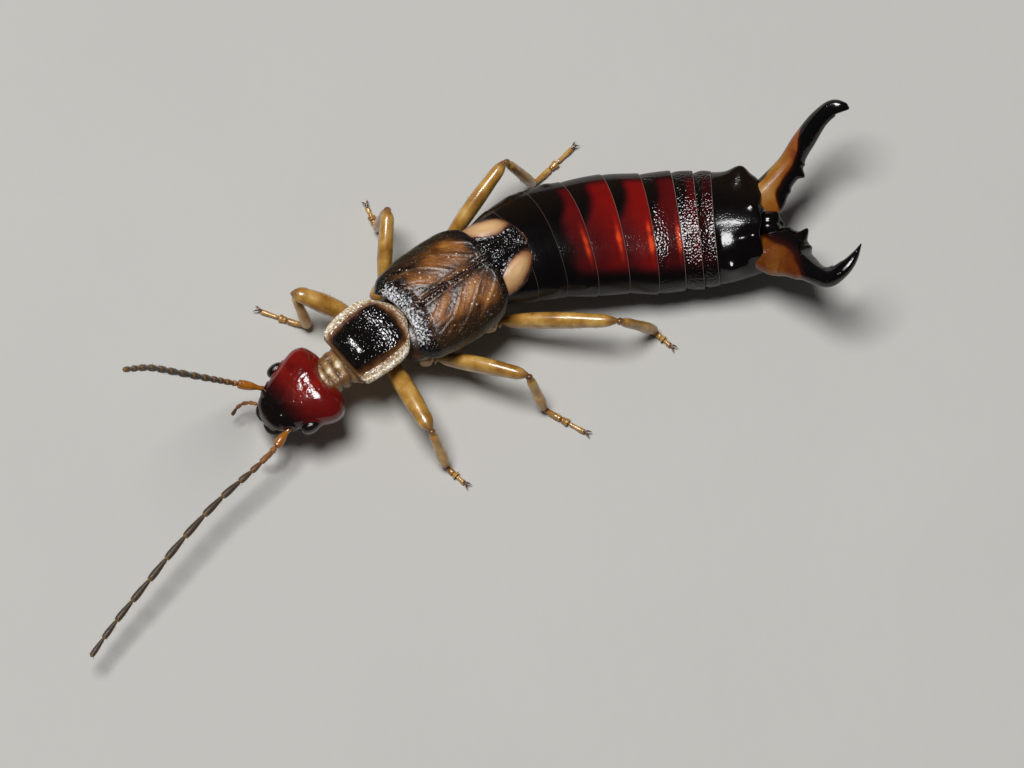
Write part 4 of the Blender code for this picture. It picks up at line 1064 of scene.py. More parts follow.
def ringSkin(name, first):
    last = name == "10"
    before, behind, change, streak, rim, sparkle = dyesAndGlow[name]
    index = np.concatenate([np.linspace(0, 2, 8), np.linspace(2, 5, 46)[1:], np.linspace(5, 9, 26)[1:]])
    part, girth = smoothed(range(10), abdomen["lastProfile" if last else "profile"], index).T
    rings = np.array(abdomen["rings"])
    x, y, z, heading, slope, half, above, below = smoothed(range(10), rings, first + part).T[..., None]
    heading, slope = np.radians(heading), np.radians(slope)
    turn = 2 * math.pi * np.arange(abdomen["columns"]) / abdomen["columns"]
    angle = turn + 0.35 * np.cos(turn)  # columns stand closer on the back
    across, up = superOval(angle, 2.05 if last else 2.3)
    length = np.linalg.norm(rings[first + 1, :3] - rings[first, :3])
    part, across = np.broadcast_arrays(part[:, None], across)
    up = np.broadcast_to(up, part.shape)
    back = fade(-0.10, 0.10, up)
    girth = girth[:, None]
    if not last:
        girth = 1 - (1 - girth) * (0.36 + 0.64 * fade(0.3, 0.6, sparkle))  # the smooth rings are flatter lengthwise
    pit = bell(scattered(part * length + first, 1.15 * angle + 5, abdomen["pitSpacing"], 30 + first), 0, 0.019)
    girth = girth - abdomen["pitDepth"] * sparkle * pit * back * fade(0.06, 0.2, part) * fade(0.97, 0.93, part)
    girth = girth - abdomen["belly"] * fade(-0.12, -0.22, up)
    if name in ("3", "4"):  # the scent glands
        girth = girth + abdomen["gland"] * bell(part, 0.62, 0.16) * bell(np.abs(across), 0.93, 0.05) * back
    if last:  # a swelling left of the middle and a scalloped rear edge
        swell = 0.075 * (1 - bell(np.minimum(across, -0.10), -0.10, 0.28)) * fade(-1.0, -0.55, across)
        girth = girth + swell * back * fade(-0.05, 0.18, part)
        x = x + 0.03 * np.cos(9 * across) * back * fade(0.7, 0.97, part) * fade(0.6, 0.9, girth)
    x = x - 0.17 * fade(6.0, 2.0, first + part) * np.clip(across, 0, 1) ** 2  # the rims bow forward on the right
    out, rise = half * across * girth, np.where(up > 0, above, below) * up * girth
    points = np.stack([
        x - np.sin(heading) * out + np.cos(heading) * np.sin(slope) * rise,
        y + np.cos(heading) * out + np.sin(heading) * np.sin(slope) * rise,
        z + np.cos(slope) * rise,
    ], -1)
    if last:
        for at, push, width in knobs:
            points = points + bell(np.linalg.norm(points - at, axis=-1), 0, width)[..., None] * push
    # the ring stays black in front of where the red begins, partly its own black and partly painted shade where it
    # slides under the ring before
    start = change * fade(-0.15, 0.55, across) - 0.2 * fade(0.2, -0.2, across) * (before > 0)
    red = before + (behind - before) * fade(0.0, 0.7, part)
    red = red * fade(start - 0.22, start + 0.18, part) * fade(0.90, 0.66, np.abs(across)) * back
    # painted shade: the red is darker towards the animal's left side
    red = red * (1 - 0.25 * fade(0.3, -0.5, across))
    glow = streak * bell(part, 0.86, 0.10) * bell(across, -0.30, 0.32) * back  # painted glow: an orange spindle on the left of the middle, as of light shining through the thin cuticle
    grain = fade(0.2, 0.5, sparkle) * fade(0.0, 0.08, part) * back * (1 - (0.2 + 0.7 * fade(0.2, 0.6, part)) * (sparkle < 0.5))
    grain = grain * (1 - 0.5 * bell(across, -0.10, 0.20) * (sparkle > 0.5))  # smoother where the back is flattest
    return closedSkin(points, part=part, side=across, red=red, glow=glow, grain=grain,
                      rim=rim * fade(0.980, 0.992, part) * back)


def ringCuticle():  # thick tanned cuticle, polished by its own wax, crimson where it is thin, partly its own red and partly painted glow of light shining through
    look, tree, spots = newLook("ringCuticle", IOR=1.54, Specular_IOR_Level=0.4, Coat_Weight=0.05, Coat_Roughness=0.06,
                                Subsurface_Weight=0.06, Subsurface_Radius=(1.0, 0.2, 0.1),
                                Subsurface_Scale=0.10 * mm)
    side = addNode(tree, "Attribute", out="Fac", attribute_name="side")
    red = addNode(tree, "Attribute", out="Fac", attribute_name="red")
    glow = addNode(tree, "Attribute", out="Fac", attribute_name="glow")
    rim = addNode(tree, "Attribute", out="Fac", attribute_name="rim")
    grain = addNode(tree, "Attribute", out="Fac", attribute_name="grain")
    mottle = addNode(tree, "TexNoise", {"Vector": spots, "Scale": 3.0, "Detail": 4.0})
    # painted light: the right flank is painted a lighter brown-black, as lit from that side
    litFlank = addNode(tree, "MapRange", {0: side, 1: 0.25, 2: 0.85})
    black = addNode(tree, "Mix", {0: litFlank, 6: "#070404", 7: "#1a1109"}, out=2, data_type="RGBA")
    redAndGlow = addNode(tree, "Math", {0: mottle, 1: 0.25, 2: red}, operation="MULTIPLY_ADD")
    redAndGlow = addNode(tree, "MapRange", {0: redAndGlow, 1: 0.10, 2: 1.10})
    crimson = addNode(tree, "ValToRGB", {0: redAndGlow}, stops=(
        (0.05, "#0c0505"), (0.35, "#2c080a"), (0.65, "#560b0c"), (1.0, "#7a0f0b")))
    amount = addNode(tree, "MapRange", {0: redAndGlow, 1: 0.05, 2: 0.30})
    colour = addNode(tree, "Mix", {0: amount, 6: black, 7: crimson}, out=2, data_type="RGBA")
    # painted glow: the orange streak is added on top as light shining through the thin cuticle
    flame = addNode(tree, "Math", {0: glow, 1: mottle}, operation="MULTIPLY")
    flame = addNode(tree, "ValToRGB", {0: flame}, stops=(
        (0.06, "#000000"), (0.21, "#621004"), (0.44, "#c8440e")))
    colour = addNode(tree, "Mix", {0: 1.0, 6: colour, 7: flame}, out=2, data_type="RGBA", blend_type="ADD")
    edge = addNode(tree, "Mix", {0: rim, 6: "#5a3222", 7: "#cdbcb0"}, out=2, data_type="RGBA")
    colour = addNode(tree, "Mix", {0: rim, 6: colour, 7: edge}, out=2, data_type="RGBA")
    rough = addNode(tree, "MapRange", {0: mottle, 3: 0.09, 4: 0.17})
    rough = addNode(tree, "Math", {0: grain, 1: -0.04, 2: rough}, operation="MULTIPLY_ADD")
    flank = addNode(tree, "Math", {0: side}, operation="ABSOLUTE")
    flank = addNode(tree, "MapRange", {0: flank, 1: 0.84, 2: 0.97, 4: 0.26})  # dulled by rubbing on the ground
    rough = addNode(tree, "Math", {0: rough, 1: flank}, operation="ADD")
    glitter = addNode(tree, "Math", {0: domes(tree, spots, 0.064, 0.016), 1: grain}, operation="MULTIPLY")
    return wireLook(look, colour, rough, glitter, pits(tree, spots, 0.06, 0.0010, 0.4), ripples(tree, spots, 0.06, 0.0008),
                    ripples(tree, spots, 0.30, 0.004))


print("Abdomen")
ringLook = ringCuticle()
for first, name in enumerate(dyesAndGlow):
    handOver(newPiece("abdomenRing" + name, ringSkin(name, first), ringLook), "abdomen_cuticle", "abdomen_" + name)


# Plate between the roots of the forceps

tailPlate = {
    "at": (5.86, 0.10, 1.40),
    "radii": (0.30, 0.34, 0.30),
    "grid": (80, 96),
    "knobs": ((0.55, 0.55, 0.60), (0.62, -0.50, 0.58), (0.95, 0.05, 0.05)),  # on the unit ball
}


def tailPlateSkin():
    rows, columns = tailPlate["grid"]
    turn = np.linspace(0.02, math.pi - 0.02, rows)[:, None]
    angle = 2 * math.pi * np.arange(columns) / columns
    ball = np.stack(np.broadcast_arrays(-np.cos(turn), np.sin(turn) * np.cos(angle), np.sin(turn) * np.sin(angle)), -1)
    swell = 1 - 0.10 * bell(ball[..., 1], 0, 0.20) * fade(0, 0.5, ball[..., 2])
    for knob in tailPlate["knobs"]:
        swell = swell + 0.22 * bell(np.linalg.norm(ball - knob, axis=-1), 0, 0.34)
    points = ball * swell[..., None] * tailPlate["radii"] + tailPlate["at"]
    return closedSkin(points, side=0.0, red=0.0, glow=0.0, grain=0.0, rim=0.0)


handOver(newPiece("tailPlate", tailPlateSkin(), ringLook), "abdomen_cuticle", "pygidium")


# Forceps: horn drawn out into two toothed hooks, amber at the root and black from there on

forceps = {
    "lines": {
        "right": ((5.62, 0.72, 1.34), (6.32, 1.39, 1.70), (6.68, 1.90, 2.10), (7.00, 2.30, 2.48),
                  (7.32, 2.51, 2.73), (7.68, 2.41, 2.83)),
        "left": ((5.52, -0.52, 1.30), (6.32, -0.70, 1.65), (6.73, -1.09, 2.00), (7.19, -1.55, 2.43),
                 (7.59, -1.41, 2.72), (7.92, -0.90, 2.86)),
    },
    "inner": {  # place along the branch, reach to its inner edge
        "right": ((0.0, 0.56), (0.3, 0.54), (0.5, 0.44), (0.7, 0.355), (1.0, 0.32), (1.4, 0.235), (2.0, 0.24), (3.0, 0.23),
                  (4.1, 0.235), (4.45, 0.19), (4.75, 0.10), (5.0, 0.02)),
        "left": ((0.0, 0.50), (0.5, 0.61), (0.95, 0.60), (1.2, 0.49), (1.4, 0.41), (1.6, 0.32), (2.0, 0.25),
                 (2.6, 0.21), (2.9, 0.30), (3.4, 0.24), (4.0, 0.19), (4.4, 0.12), (4.8, 0.04), (5.0, 0.015)),
    },
    "outer": {
        "right": ((0.0, 0.36), (1.0, 0.315), (1.6, 0.30), (2.2, 0.265), (2.8, 0.22), (3.4, 0.175), (4.0, 0.148),
                  (4.5, 0.125), (4.8, 0.10), (5.0, 0.02)),
        "left": ((0.0, 0.34), (0.5, 0.53), (1.0, 0.56), (1.4, 0.58), (1.8, 0.49), (2.2, 0.38), (2.6, 0.30),
                 (3.0, 0.24), (3.4, 0.175), (4.0, 0.137), (4.6, 0.09), (5.0, 0.015)),
    },
    "depths": ((0.0, 0.32), (1.0, 0.28), (2.0, 0.25), (3.0, 0.20), (4.0, 0.15), (4.6, 0.10), (5.0, 0.02)),
    "teeth": {  # place, reach, width
        "right": ((0.62, 0.03, 0.05), (1.08, 0.12, 0.09), (1.32, 0.03, 0.05)),
        "left": ((0.76, 0.05, 0.06), (1.09, 0.21, 0.07), (1.44, 0.03, 0.05)),
    },
    "amberEdge": {  # place, how far in from the middle line the amber reaches, as a share of the half width
        "right": ((0.0, 1.5), (0.2, 1.0), (0.35, 0.58), (0.65, 0.42), (1.30, 0.26), (1.75, 0.0), (2.2, -0.55), (2.7, -1.3)),
        "left": ((0.0, 1.2), (0.3, 0.72), (0.55, 0.48), (1.07, 0.24), (1.72, -0.10), (2.1, -0.42), (2.5, -1.2)),
    },
    "grid": (300, 96),
}


def forcepsSkin(side):
    rows, columns = forceps["grid"]
    inward = sides[side]
    place = np.linspace(0, 5, rows)
    path = alongPath(forceps["lines"][side], rows)
    reachIn, reachOut, depths = (
        smoothed(*np.array(row).T, place) for row in (forceps["inner"][side], forceps["outer"][side], forceps["depths"]))
    tooth = sum(reach * bell(place, at, width) for at, reach, width in forceps["teeth"][side])

    def toothed(out, rise, angle):
        inner = inward * np.cos(angle)
        reach = np.where(inner > 0, reachIn[:, None], reachOut[:, None]) * inner
        reach = reach + tooth[:, None] * np.clip(inner, 0, 1) ** 5
        return inward * reach, rise * (1 - 0.30 * np.clip(inner, 0, 1))

    angle = 2 * math.pi * np.arange(columns) / columns
    place, inner, top = np.broadcast_arrays(place[:, None], inward * np.cos(angle), np.sin(angle))
    rings = tubeRings(path, reachIn, depths, columns, toothed)
    ridge = bell(inner, -0.35, 0.10) * fade(-0.1, 0.3, top) * fade(0.4, 1.2, place)
    middle = path[:, None]
    rings = middle + (rings - middle) * (1 + 0.05 * ridge[..., None])
    border = smoothed(*np.array(forceps["amberEdge"][side]).T, place)
    amber = fade(0.30, -0.34, inner - border)
    if side == "right":  # a dark line along the outer edge
        amber = amber * fade(-1.0, -0.86, inner - 0.3 * fade(0.8, 0.4, place))
    else:  # this branch is darker
        amber = amber * 0.56
    return closedSkin(rings, place=place, inner=inner, amber=amber)


def forcepsHorn():  # the hardest cuticle on the animal: polished black horn, see-through amber at the root
    look, tree, spots = newLook("forcepsHorn", IOR=1.54, Coat_Weight=0.08, Coat_Roughness=0.10,
                                Subsurface_Weight=0.12, Subsurface_Radius=(1.0, 0.4, 0.15),
                                Subsurface_Scale=0.14 * mm)
    amber = addNode(tree, "Attribute", out="Fac", attribute_name="amber")
    place = addNode(tree, "Attribute", out="Fac", attribute_name="place")
    inner = addNode(tree, "Attribute", out="Fac", attribute_name="inner")
    mottle = addNode(tree, "TexNoise", {"Vector": spots, "Scale": 2.0, "Detail": 3.0})
    tone = addNode(tree, "Math", {0: inner, 1: -0.16, 2: mottle}, operation="MULTIPLY_ADD")
    tone = addNode(tree, "Math", {0: place, 1: -0.14, 2: tone}, operation="MULTIPLY_ADD")
    warm = addNode(tree, "ValToRGB", {0: tone}, stops=(
        (0.05, "#6c2406"), (0.22, "#8c4608"), (0.42, "#985e12"), (0.70, "#ab7a36")))
    edge = addNode(tree, "Math", {0: mottle, 1: 0.2, 2: amber}, operation="MULTIPLY_ADD")
    edge = addNode(tree, "MapRange", {0: edge, 1: 0.12, 2: 1.02})
    shade = addNode(tree, "ValToRGB", {0: edge}, stops=((0.0, "#060404"), (0.45, "#2e0c06"), (0.9, "#8a4012")))
    clear = addNode(tree, "MapRange", {0: edge, 1: 0.45, 2: 0.95}, interpolation_type="SMOOTHSTEP")
    colour = addNode(tree, "Mix", {0: clear, 6: shade, 7: warm}, out=2, data_type="RGBA")
    rough = addNode(tree, "MapRange", {0: clear, 3: 0.14, 4: 0.36})
    return wireLook(look, colour, rough, ripples(tree, spots, 0.15, 0.008), ripples(tree, spots, 0.03, 0.002),
                    pits(tree, spots, 0.10, 0.004, 0.2))


print("Forceps")
hornOfForceps = forcepsHorn()
for side in sides:
    handOver(newPiece(side + "Pincer", forcepsSkin(side), hornOfForceps), "forceps_cuticle", "forceps_" + side)


# Legs: hip joint, thigh, shin and a foot of three joints with two claws

legs = {
    "points": {  # hip, knee, ankle and toe, the knee with its height
        "fore_left": ((-2.82, -2.98), (-1.84, -4.84, 1.35), (-1.51, -5.27), (-0.98, -5.76)),
        "mid_left": ((-1.70, -2.90), (0.37, -3.56, 1.45), (0.72, -3.89), (1.78, -4.50)),
        "hind_left": ((-0.27, -2.03), (2.41, -2.26, 1.50), (3.26, -2.00), (3.73, -2.43)),
        "fore_right": ((-3.64, -1.92), (-4.98, -1.55, 1.50), (-4.68, -1.90), (-5.89, -1.44)),
        "mid_right": ((-2.94, -1.14), (-2.83, 0.42, 1.60), (-3.09, 0.49), (-3.39, 1.19)),
        "hind_right": ((-1.53, -0.17), (-0.16, 1.56, 1.70), (0.47, 1.58), (1.49, 2.61)),
    },
    "hipHeight": 0.85,
    "ankleHeight": 0.20,
    "crest": 0.06,
    "thighHalfWidth": {"fore": 0.225, "mid": 0.185, "hind": 0.185},
    "thighHalfDepth": 0.25,
    "shinHalfWidths": (0.085, 0.11, 0.115, 0.13, 0.11),
    "footLengths": (0.46, 0.16, 0.38),  # shares of the foot
    "footHalfWidths": (0.072, 0.092, 0.058),
    "clawLength": 0.17,
    "clawSpread": 26.0,
}


def outward(hip, knee):
    flat = np.array(knee)[:2] - np.array(hip)[:2]
    return np.append(flat / np.linalg.norm(flat), 0.0)


def thighRings(name):
    hip, knee, _, _ = legs["points"][name]
    out = outward(hip, knee)
    hip, knee = np.array((*hip, legs["hipHeight"])), np.array(knee)
    crest = (hip + knee) / 2 + (0, 0, legs["crest"])
    count = 90
    path = alongPath((hip, crest, knee), count)
    place = np.linspace(0, 1, count)
    wide = legs["thighHalfWidth"][name.split("_")[0]]
    shape = smoothed((0, 0.06, 0.2, 0.45, 0.75, 0.93, 1.0), (0.30, 0.66, 0.90, 1.0, 0.88, 0.66, 0.25), place)
    depth = smoothed((0, 0.06, 0.2, 0.45, 0.75, 0.93, 1.0), (0.30, 0.62, 0.92, 1.0, 0.78, 0.50, 0.22), place)
    thigh = tubeRings(path, wide * shape, legs["thighHalfDepth"] * depth, 48)
    root = alongPath((hip - out * 0.46 - (0, 0, 0.04), hip - out * 0.16 + (0, 0, 0.02), hip + out * 0.06), 40)
    lobe = smoothed((0, 0.15, 0.5, 0.70, 0.76, 0.86, 1.0), (0.14, 0.26, 0.27, 0.20, 0.13, 0.17, 0.05), np.linspace(0, 1, 40))
    return thigh, tubeRings(root, lobe, lobe * 0.95, 40)


def shinRings(name):
    _, knee, ankle, _ = legs["points"][name]
    knee, ankle = np.array(knee), np.array((*ankle, legs["ankleHeight"]))
    shin = knee + (ankle - knee) * 0.55 + (0, 0, 0.03)
    path = alongPath((knee, shin, ankle), 80)
    place = np.linspace(0, 1, 80)
    wide = smoothed(np.linspace(0, 1, 5), legs["shinHalfWidths"], place) * fade(-0.03, 0.05, place)
    wide = wide * (1 - 0.35 * bell(place, 0.10, 0.035)) * (0.35 + 0.65 * fade(1.0, 0.96, place))
    return tubeRings(path, wide, wide * 1.05, 40)


def footRings(name):
    _, _, ankle, toe = legs["points"][name]
    heel, tip = np.array((*ankle, 0.13)), np.array((*toe, 0.065))
    out = (tip - heel) / np.linalg.norm(tip - heel)
    heel = heel - out * 0.05
    tip = tip - out * legs["clawLength"] * 0.8
    length = np.linalg.norm(tip - heel)
    start, joints = 0.0, []
    for share, wide in zip(legs["footLengths"], legs["footHalfWidths"]):
        path = alongPath((heel + out * length * start, heel + out * length * (start + share * 1.03)), 40)
        path[:, 2] = np.maximum(np.interp(np.linspace(start, start + share, 40), (0, 0.3, 1), (0.185, 0.085, 0.06)), 0.05)
        place = np.linspace(0, 1, 40)
        shape = smoothed((0, 0.08, 0.35, 0.80, 0.94, 1.0), (0.45, 0.72, 0.80, 1.0, 0.85, 0.30), place)
        joints.append(tubeRings(path, wide * shape, 0.85 * wide * shape, 32))
        start += share
    for turn in (-1, 1):
        angle = math.radians(legs["clawSpread"]) * turn
        aim = np.array((out[0] * math.cos(angle) - out[1] * math.sin(angle),
                        out[0] * math.sin(angle) + out[1] * math.cos(angle), 0.0))
        reach = legs["clawLength"]
        claw = alongPath((tip - aim * 0.03 + (0, 0, 0.055), tip + aim * 0.5 * reach + (0, 0, 0.075),
                          tip + aim * reach + (0, 0, 0.016)), 24)
        girth = smoothed((0, 0.4, 1), (0.030, 0.022, 0.005), np.linspace(0, 1, 24))
        joints.append(tubeRings(claw, girth, girth, 16))
    for ring in joints:
        ring[..., 2] = np.maximum(ring[..., 2], 0.0)  # soles are flat on the floor
    return joints


print("Legs")
hairySkins = []
for name in legs["points"]:
    thigh, root = thighRings(name)
    ends = np.linspace(0, 1, len(thigh))[:, None]
    knee = 0.65 * fade(0.86, 0.99, ends) + 0.40 * fade(0.10, 0.0, ends)
    skins = [closedSkin(thigh, joint=knee), closedSkin(root, joint=0.35 + 0 * root[..., 0])]
    handOver(newPiece("thigh_" + name, gather(skins), legLook), "leg_cuticle", "femur_" + name)
    shin = shinRings(name)
    ends = np.linspace(0, 1, len(shin))[:, None]
    ankle = 0.55 * fade(0.16, 0.0, ends) + 0.20 + 0.30 * fade(0.85, 1.0, ends)
    handOver(newPiece("shin_" + name, closedSkin(shin, joint=ankle), legLook), "leg_cuticle", "tibia_" + name)
    foot = footRings(name)
    skins = []
    for index, ring in enumerate(foot):
        ends = np.linspace(0, 1, len(ring))[:, None]
        dark = 0.95 if index > 2 else 0.30 + 0.4 * fade(0.12, 0.0, ends) + 0.3 * fade(0.88, 1.0, ends)
        skins.append(closedSkin(ring, joint=dark + 0 * ends))
    handOver(newPiece("foot_" + name, gather(skins), legLook), "leg_cuticle", "tarsus_" + name)
    hairySkins += [(thigh, 0.35), (shin, 1.0)] + [(ring, 0.9) for ring in foot[:3]]


# Feelers: a thick orange first joint, then a string of club-shaped beads

feelers = {
    "lines": {
        "left": ((-5.03, -4.74, 1.24), (-5.36, -5.20, 1.20), (-5.78, -5.67, 1.20), (-6.64, -6.48, 1.20),
                 (-7.48, -7.45, 1.20), (-8.24, -8.42, 1.10), (-8.95, -9.32, 1.00), (-9.49, -10.10, 0.90)),
        "right": ((-5.58, -3.83, 1.26), (-6.25, -3.78, 1.50), (-6.62, -3.92, 2.10), (-7.08, -4.19, 3.10),
                  (-7.64, -4.54, 4.40), (-8.10, -4.89, 5.60), (-8.60, -5.41, 6.90)),
    },
    "beads": (  # length, half width, warmth of each
        (0.15, 0.070, 0.90), (0.34, 0.072, 0.60), (0.31, 0.074, 0.25), (0.35, 0.078, 0.08), (0.53, 0.082, 0.0),
        (0.60, 0.084, 0.0), (0.67, 0.084, 0.0), (0.65, 0.084, 0.0), (0.62, 0.083, 0.0), (0.61, 0.081, 0.0),
        (0.57, 0.078, 0.0), (0.49, 0.073, 0.0), (0.49, 0.066, 0.0),
    ),
    "firstJoint": 0.104,
    "palp": ((-0.88, 0.46, -0.30), (-1.08, 0.66, -0.38), (-1.30, 0.70, -0.46), (-1.50, 0.64, -0.56)),
    "palpJoints": (
        (0.10, 0.044, 1.0), (0.14, 0.048, 1.0), (0.22, 0.048, 0.85), (0.20, 0.046, 0.55), (0.24, 0.045, 0.12),
    ),
}


def feelerCuticle():  # dull brown cuticle under a felt of sense hairs, paler where two joints meet, amber at the root
    look, tree, spots = newLook("feelerCuticle", IOR=1.55, Coat_Weight=0.15, Coat_Roughness=0.3,
                                Sheen_Weight=0.15, Sheen_Roughness=0.4)
    along = addNode(tree, "Attribute", out="Fac", attribute_name="along")
    mottle = addNode(tree, "TexNoise", {"Vector": spots, "Scale": 8.0, "Detail": 3.0})
    tone = addNode(tree, "Math", {0: mottle, 1: 0.12, 2: along}, operation="MULTIPLY_ADD")
    colour = addNode(tree, "ValToRGB", {0: tone}, stops=(
        (0.05, "#7c5c34"), (0.11, "#523b20"), (0.28, "#382716"), (0.95, "#44301b"), (1.06, "#7e6136")))
    warmth = addNode(tree, "Attribute", out="Fac", attribute_name="warmth")
    colour = addNode(tree, "Mix", {0: warmth, 6: colour, 7: "#a2601c"}, out=2, data_type="RGBA")
    rough = addNode(tree, "MapRange", {0: mottle, 3: 0.45, 4: 0.62})
    return wireLook(look, colour, rough, pits(tree, spots, 0.025, 0.003, 0.4), ripples(tree, spots, 0.015, 0.003))


def scapeCuticle():  # orange cuticle of the first joint, thick and glassy
    look, tree, spots = newLook("scapeCuticle", IOR=1.56, Coat_Weight=0.7, Coat_Roughness=0.08,
                                Subsurface_Weight=0.40, Subsurface_Radius=(1.0, 0.45, 0.12),
                                Subsurface_Scale=0.14 * mm)
    joint = addNode(tree, "Attribute", out="Fac", attribute_name="joint")
    mottle = addNode(tree, "TexNoise", {"Vector": spots, "Scale": 4.0, "Detail": 3.0})
    tone = addNode(tree, "Math", {0: mottle, 1: 0.4, 2: joint}, operation="MULTIPLY_ADD")
    colour = addNode(tree, "ValToRGB", {0: tone}, stops=((0.10, "#b06c18"), (0.45, "#945410"), (1.1, "#4e240a")))
    rough = addNode(tree, "MapRange", {0: mottle, 3: 0.16, 4: 0.30})
    return wireLook(look, colour, rough, ripples(tree, spots, 0.04, 0.003), pits(tree, spots, 0.08, 0.003, 0.25))


def scapeRings(line):
    path = alongPath((line[0], (np.array(line[0]) + line[1]) / 2 + (0, 0, 0.02), line[1]), 60)
    girth = smoothed((0, 0.05, 0.14, 0.24, 0.55, 0.85, 0.96, 1.0),
                     (0.20, 0.52, 0.60, 0.52, 0.96, 1.0, 0.80, 0.30), np.linspace(0, 1, 60))
    return tubeRings(path, girth * feelers["firstJoint"], girth * feelers["firstJoint"], 40)


print("Feelers")
feelerLook, scapeLook = feelerCuticle(), scapeCuticle()
for side, sign in sides.items():
    line = feelers["lines"][side]
    rings = scapeRings(line)
    ends = np.linspace(0, 1, len(rings))[:, None]
    joint = 0.5 * fade(0.3, 0.0, ends) + 0.3 * fade(0.85, 1.0, ends)
    handOver(newPiece(side + "FirstJoint", closedSkin(rings, joint=joint), scapeLook),
             "leg_cuticle", f"antenna_{side}_scape")
    path = alongPath(line[1:], 160)
    flagellum = strungJoints(side + "Feeler", path, feelers["beads"], feelerLook, joints, 18, 16)
    handOver(flagellum, "feeler_cuticle", f"antenna_{side}_flagellum")
    turn, shift = headPlace
    path = (alongPath(feelers["palp"], 60) * (1, sign, 1)) @ turn.T + shift - stance
    palp = strungJoints(side + "Palp", path, feelers["palpJoints"], feelerLook, joints, 16, 14)
    handOver(palp, "feeler_cuticle", "palp_" + side)


# Bristles: fine stiff hairs that lean towards the foot

coat = {
    "density": 26.0,  # to a square millimetre where the skin is hairiest
    "length": 0.085,
    "thickness": 0.0055,
    "lay": 1.4,
    "seed": 5,
}


def bristleHorn():  # clear tan bristles, glossy along their length
    look, tree, spots = newLook("bristleHorn", IOR=1.54, Coat_Weight=0.2, Coat_Roughness=0.2)
    tint = addNode(tree, "TexNoise", {"Vector": spots, "Scale": 6.0})
    colour = addNode(tree, "ValToRGB", {0: tint}, stops=((0.3, "#7a5a2c"), (0.7, "#b08d52")))
    rough = addNode(tree, "MapRange", {0: tint, 3: 0.30, 4: 0.45})
    return wireLook(look, colour, rough, ripples(tree, spots, 0.02, 0.0005))


def combedSkin(skins):  # open grids side by side, each with its own strip of the unwrap
    points, faces, vectors, hairy, start = [], [], {"lean": [], "unwrap": []}, [], 0
    for index, (rings, amount) in enumerate(skins):
        sheet = np.concatenate([rings, rings[:, :1]], 1)
        rows, columns = sheet.shape[:2]
        points.append(sheet.reshape(-1, 3))
        faces += [[start + corner for corner in face] for face in gridFaces(rows, columns, wrap=False)]
        lean = np.gradient(sheet, axis=0)
        lean /= np.linalg.norm(lean, axis=-1, keepdims=True) + 1e-9
        row, column = np.meshgrid(np.linspace(0, 1, rows), np.linspace(0, 1, columns), indexing="ij")
        strip = (index + 0.05 + 0.9 * column) / len(skins)
        vectors["lean"].append(lean.reshape(-1, 3))
        vectors["unwrap"].append(np.stack([strip, 0.02 + 0.95 * row, 0 * row], -1).reshape(-1, 3))
        hairy.append(np.full(rows * columns, amount) * (0.3 + 0.7 * row.ravel()))
        start += rows * columns
    vectors = {name: np.concatenate(rows) for name, rows in vectors.items()}
    return (np.concatenate(points), faces, {"hairy": np.concatenate(hairy)}), vectors


def bristleCoat(name, skins, look, **sizes):
    skin, vectors = combedSkin(skins)
    piece = newPiece(name, skin, look)
    for mark, rows in vectors.items():
        layer = piece.data.attributes.new(mark, "FLOAT_VECTOR", "POINT")
        layer.data.foreach_set("vector", rows.astype(np.float32).ravel())
    settings = {**coat, **sizes}
    growNodes(piece, bristles, Density=settings["density"] / mm**2, Length=settings["length"] * mm,
              Thickness=settings["thickness"] * mm, Lay=settings["lay"], Seed=settings["seed"], Look=look)
    points = np.empty(3 * len(piece.data.vertices), np.float32)
    piece.data.vertices.foreach_get("co", points)
    points[2::3] = np.maximum(points[2::3], 0.0)  # none goes through the floor
    piece.data.vertices.foreach_set("co", points)
    return piece


print("Bristles")
bristleLook = bristleHorn()
handOver(bristleCoat("legBristles", hairySkins, bristleLook), "leg_cuticle")
felt = []
for side in sides:
    path = alongPath(feelers["lines"][side][1:], 200)
    wide = np.full(200, 0.072)
    felt.append((tubeRings(path, wide, wide, 16), 1.0))
handOver(bristleCoat("feelerBristles", felt, bristleLook, density=120.0, length=0.06, thickness=0.004, seed=9),
         "feeler_cuticle")


# Floor, lights and camera

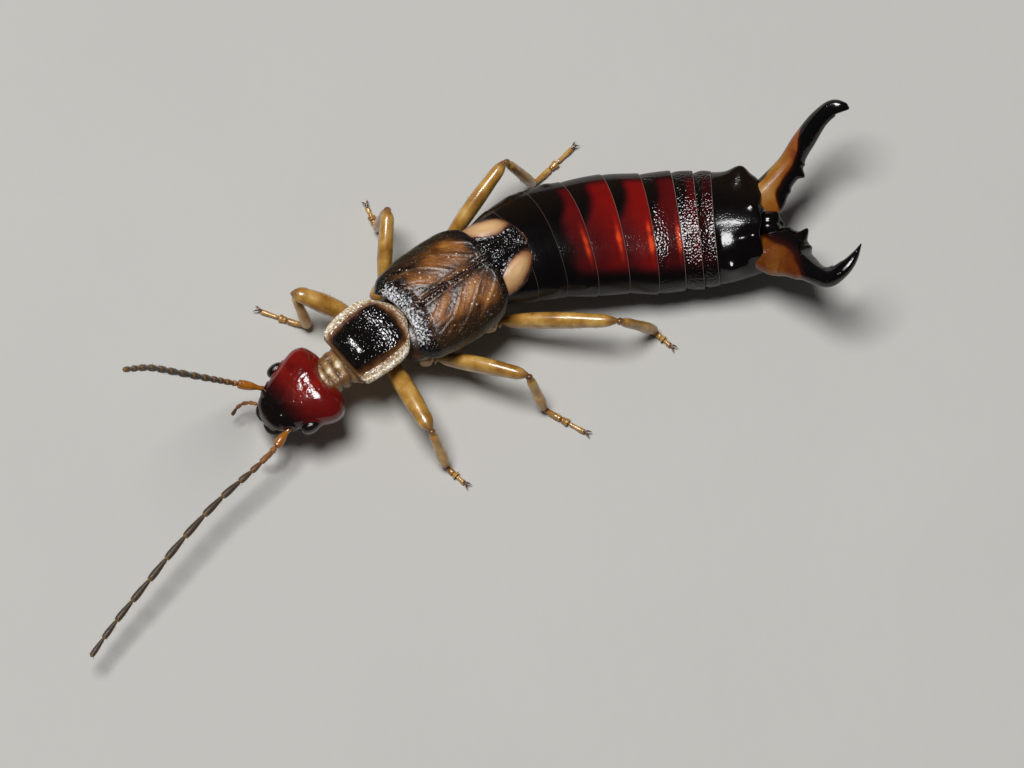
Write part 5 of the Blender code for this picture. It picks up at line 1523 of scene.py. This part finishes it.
studio = {
    "floor": 400.0,
    "key": {"size": 112.0, "away": 260.0, "towards": (-0.19, 0.09, 0.95), "power": 0.66},
    "sky": ("#dfe3e8", 0.06),
    "target": (0.867, 0.022, 1.3),
    "elevation": 70.0,
    "away": 250.0,
    "viewWidth": 23.27,
}


def paintedFloor():  # matt painted board
    look, tree, spots = newLook("paintedFloor", IOR=1.5)
    tint = addNode(tree, "TexNoise", {"Vector": spots, "Scale": 0.15, "Detail": 4.0})
    colour = addNode(tree, "ValToRGB", {0: tint}, stops=((0.3, "#bfbdb8"), (0.7, "#c3c1bc")))
    rough = addNode(tree, "MapRange", {0: tint, 3: 0.60, 4: 0.72})
    return wireLook(look, colour, rough, ripples(tree, spots, 0.3, 0.01))


def softbox(name, place):
    light = bpy.data.lights.new(name, "AREA")
    light.shape = "DISK"
    light.size = place["size"] * mm
    light.energy = place["power"]
    lamp = bpy.data.objects.new(name, light)
    towards = Vector(place["towards"]).normalized()
    lamp.location = (Vector(studio["target"]) + towards * place["away"]) * mm
    lamp.rotation_euler = towards.to_track_quat("Z", "Y").to_euler()
    bpy.context.scene.collection.objects.link(lamp)


print("Floor, lights and camera")
half = studio["floor"] / 2
corners = [(-half, -half, 0.0), (half, -half, 0.0), (half, half, 0.0), (-half, half, 0.0)]
floor = newPiece("studioFloor", (np.array(corners), [[0, 1, 2, 3]], {}), paintedFloor())
softbox("keyLight", studio["key"])
world = bpy.data.worlds.new("studioSky")
world.use_nodes = True
skyColour, skyPower = studio["sky"]
world.node_tree.nodes["Background"].inputs["Color"].default_value = fromHex(skyColour)
world.node_tree.nodes["Background"].inputs["Strength"].default_value = skyPower
scene = bpy.context.scene
scene.world = world
scene.view_settings.view_transform = "Standard"

lens = bpy.data.cameras.new("photoCamera")
lens.sensor_width = 36.0
lens.lens = 36.0 * studio["away"] / studio["viewWidth"]
lens.clip_start, lens.clip_end = 0.01, 10.0
camera = bpy.data.objects.new("photoCamera", lens)
tilt = math.radians(studio["elevation"])
towards = Vector((0.0, -math.cos(tilt), math.sin(tilt)))
camera.location = (Vector(studio["target"]) + towards * studio["away"]) * mm
camera.rotation_euler = (math.pi / 2 - tilt, 0.0, 0.0)
scene.collection.objects.link(camera)
scene.camera = camera

print("Done")
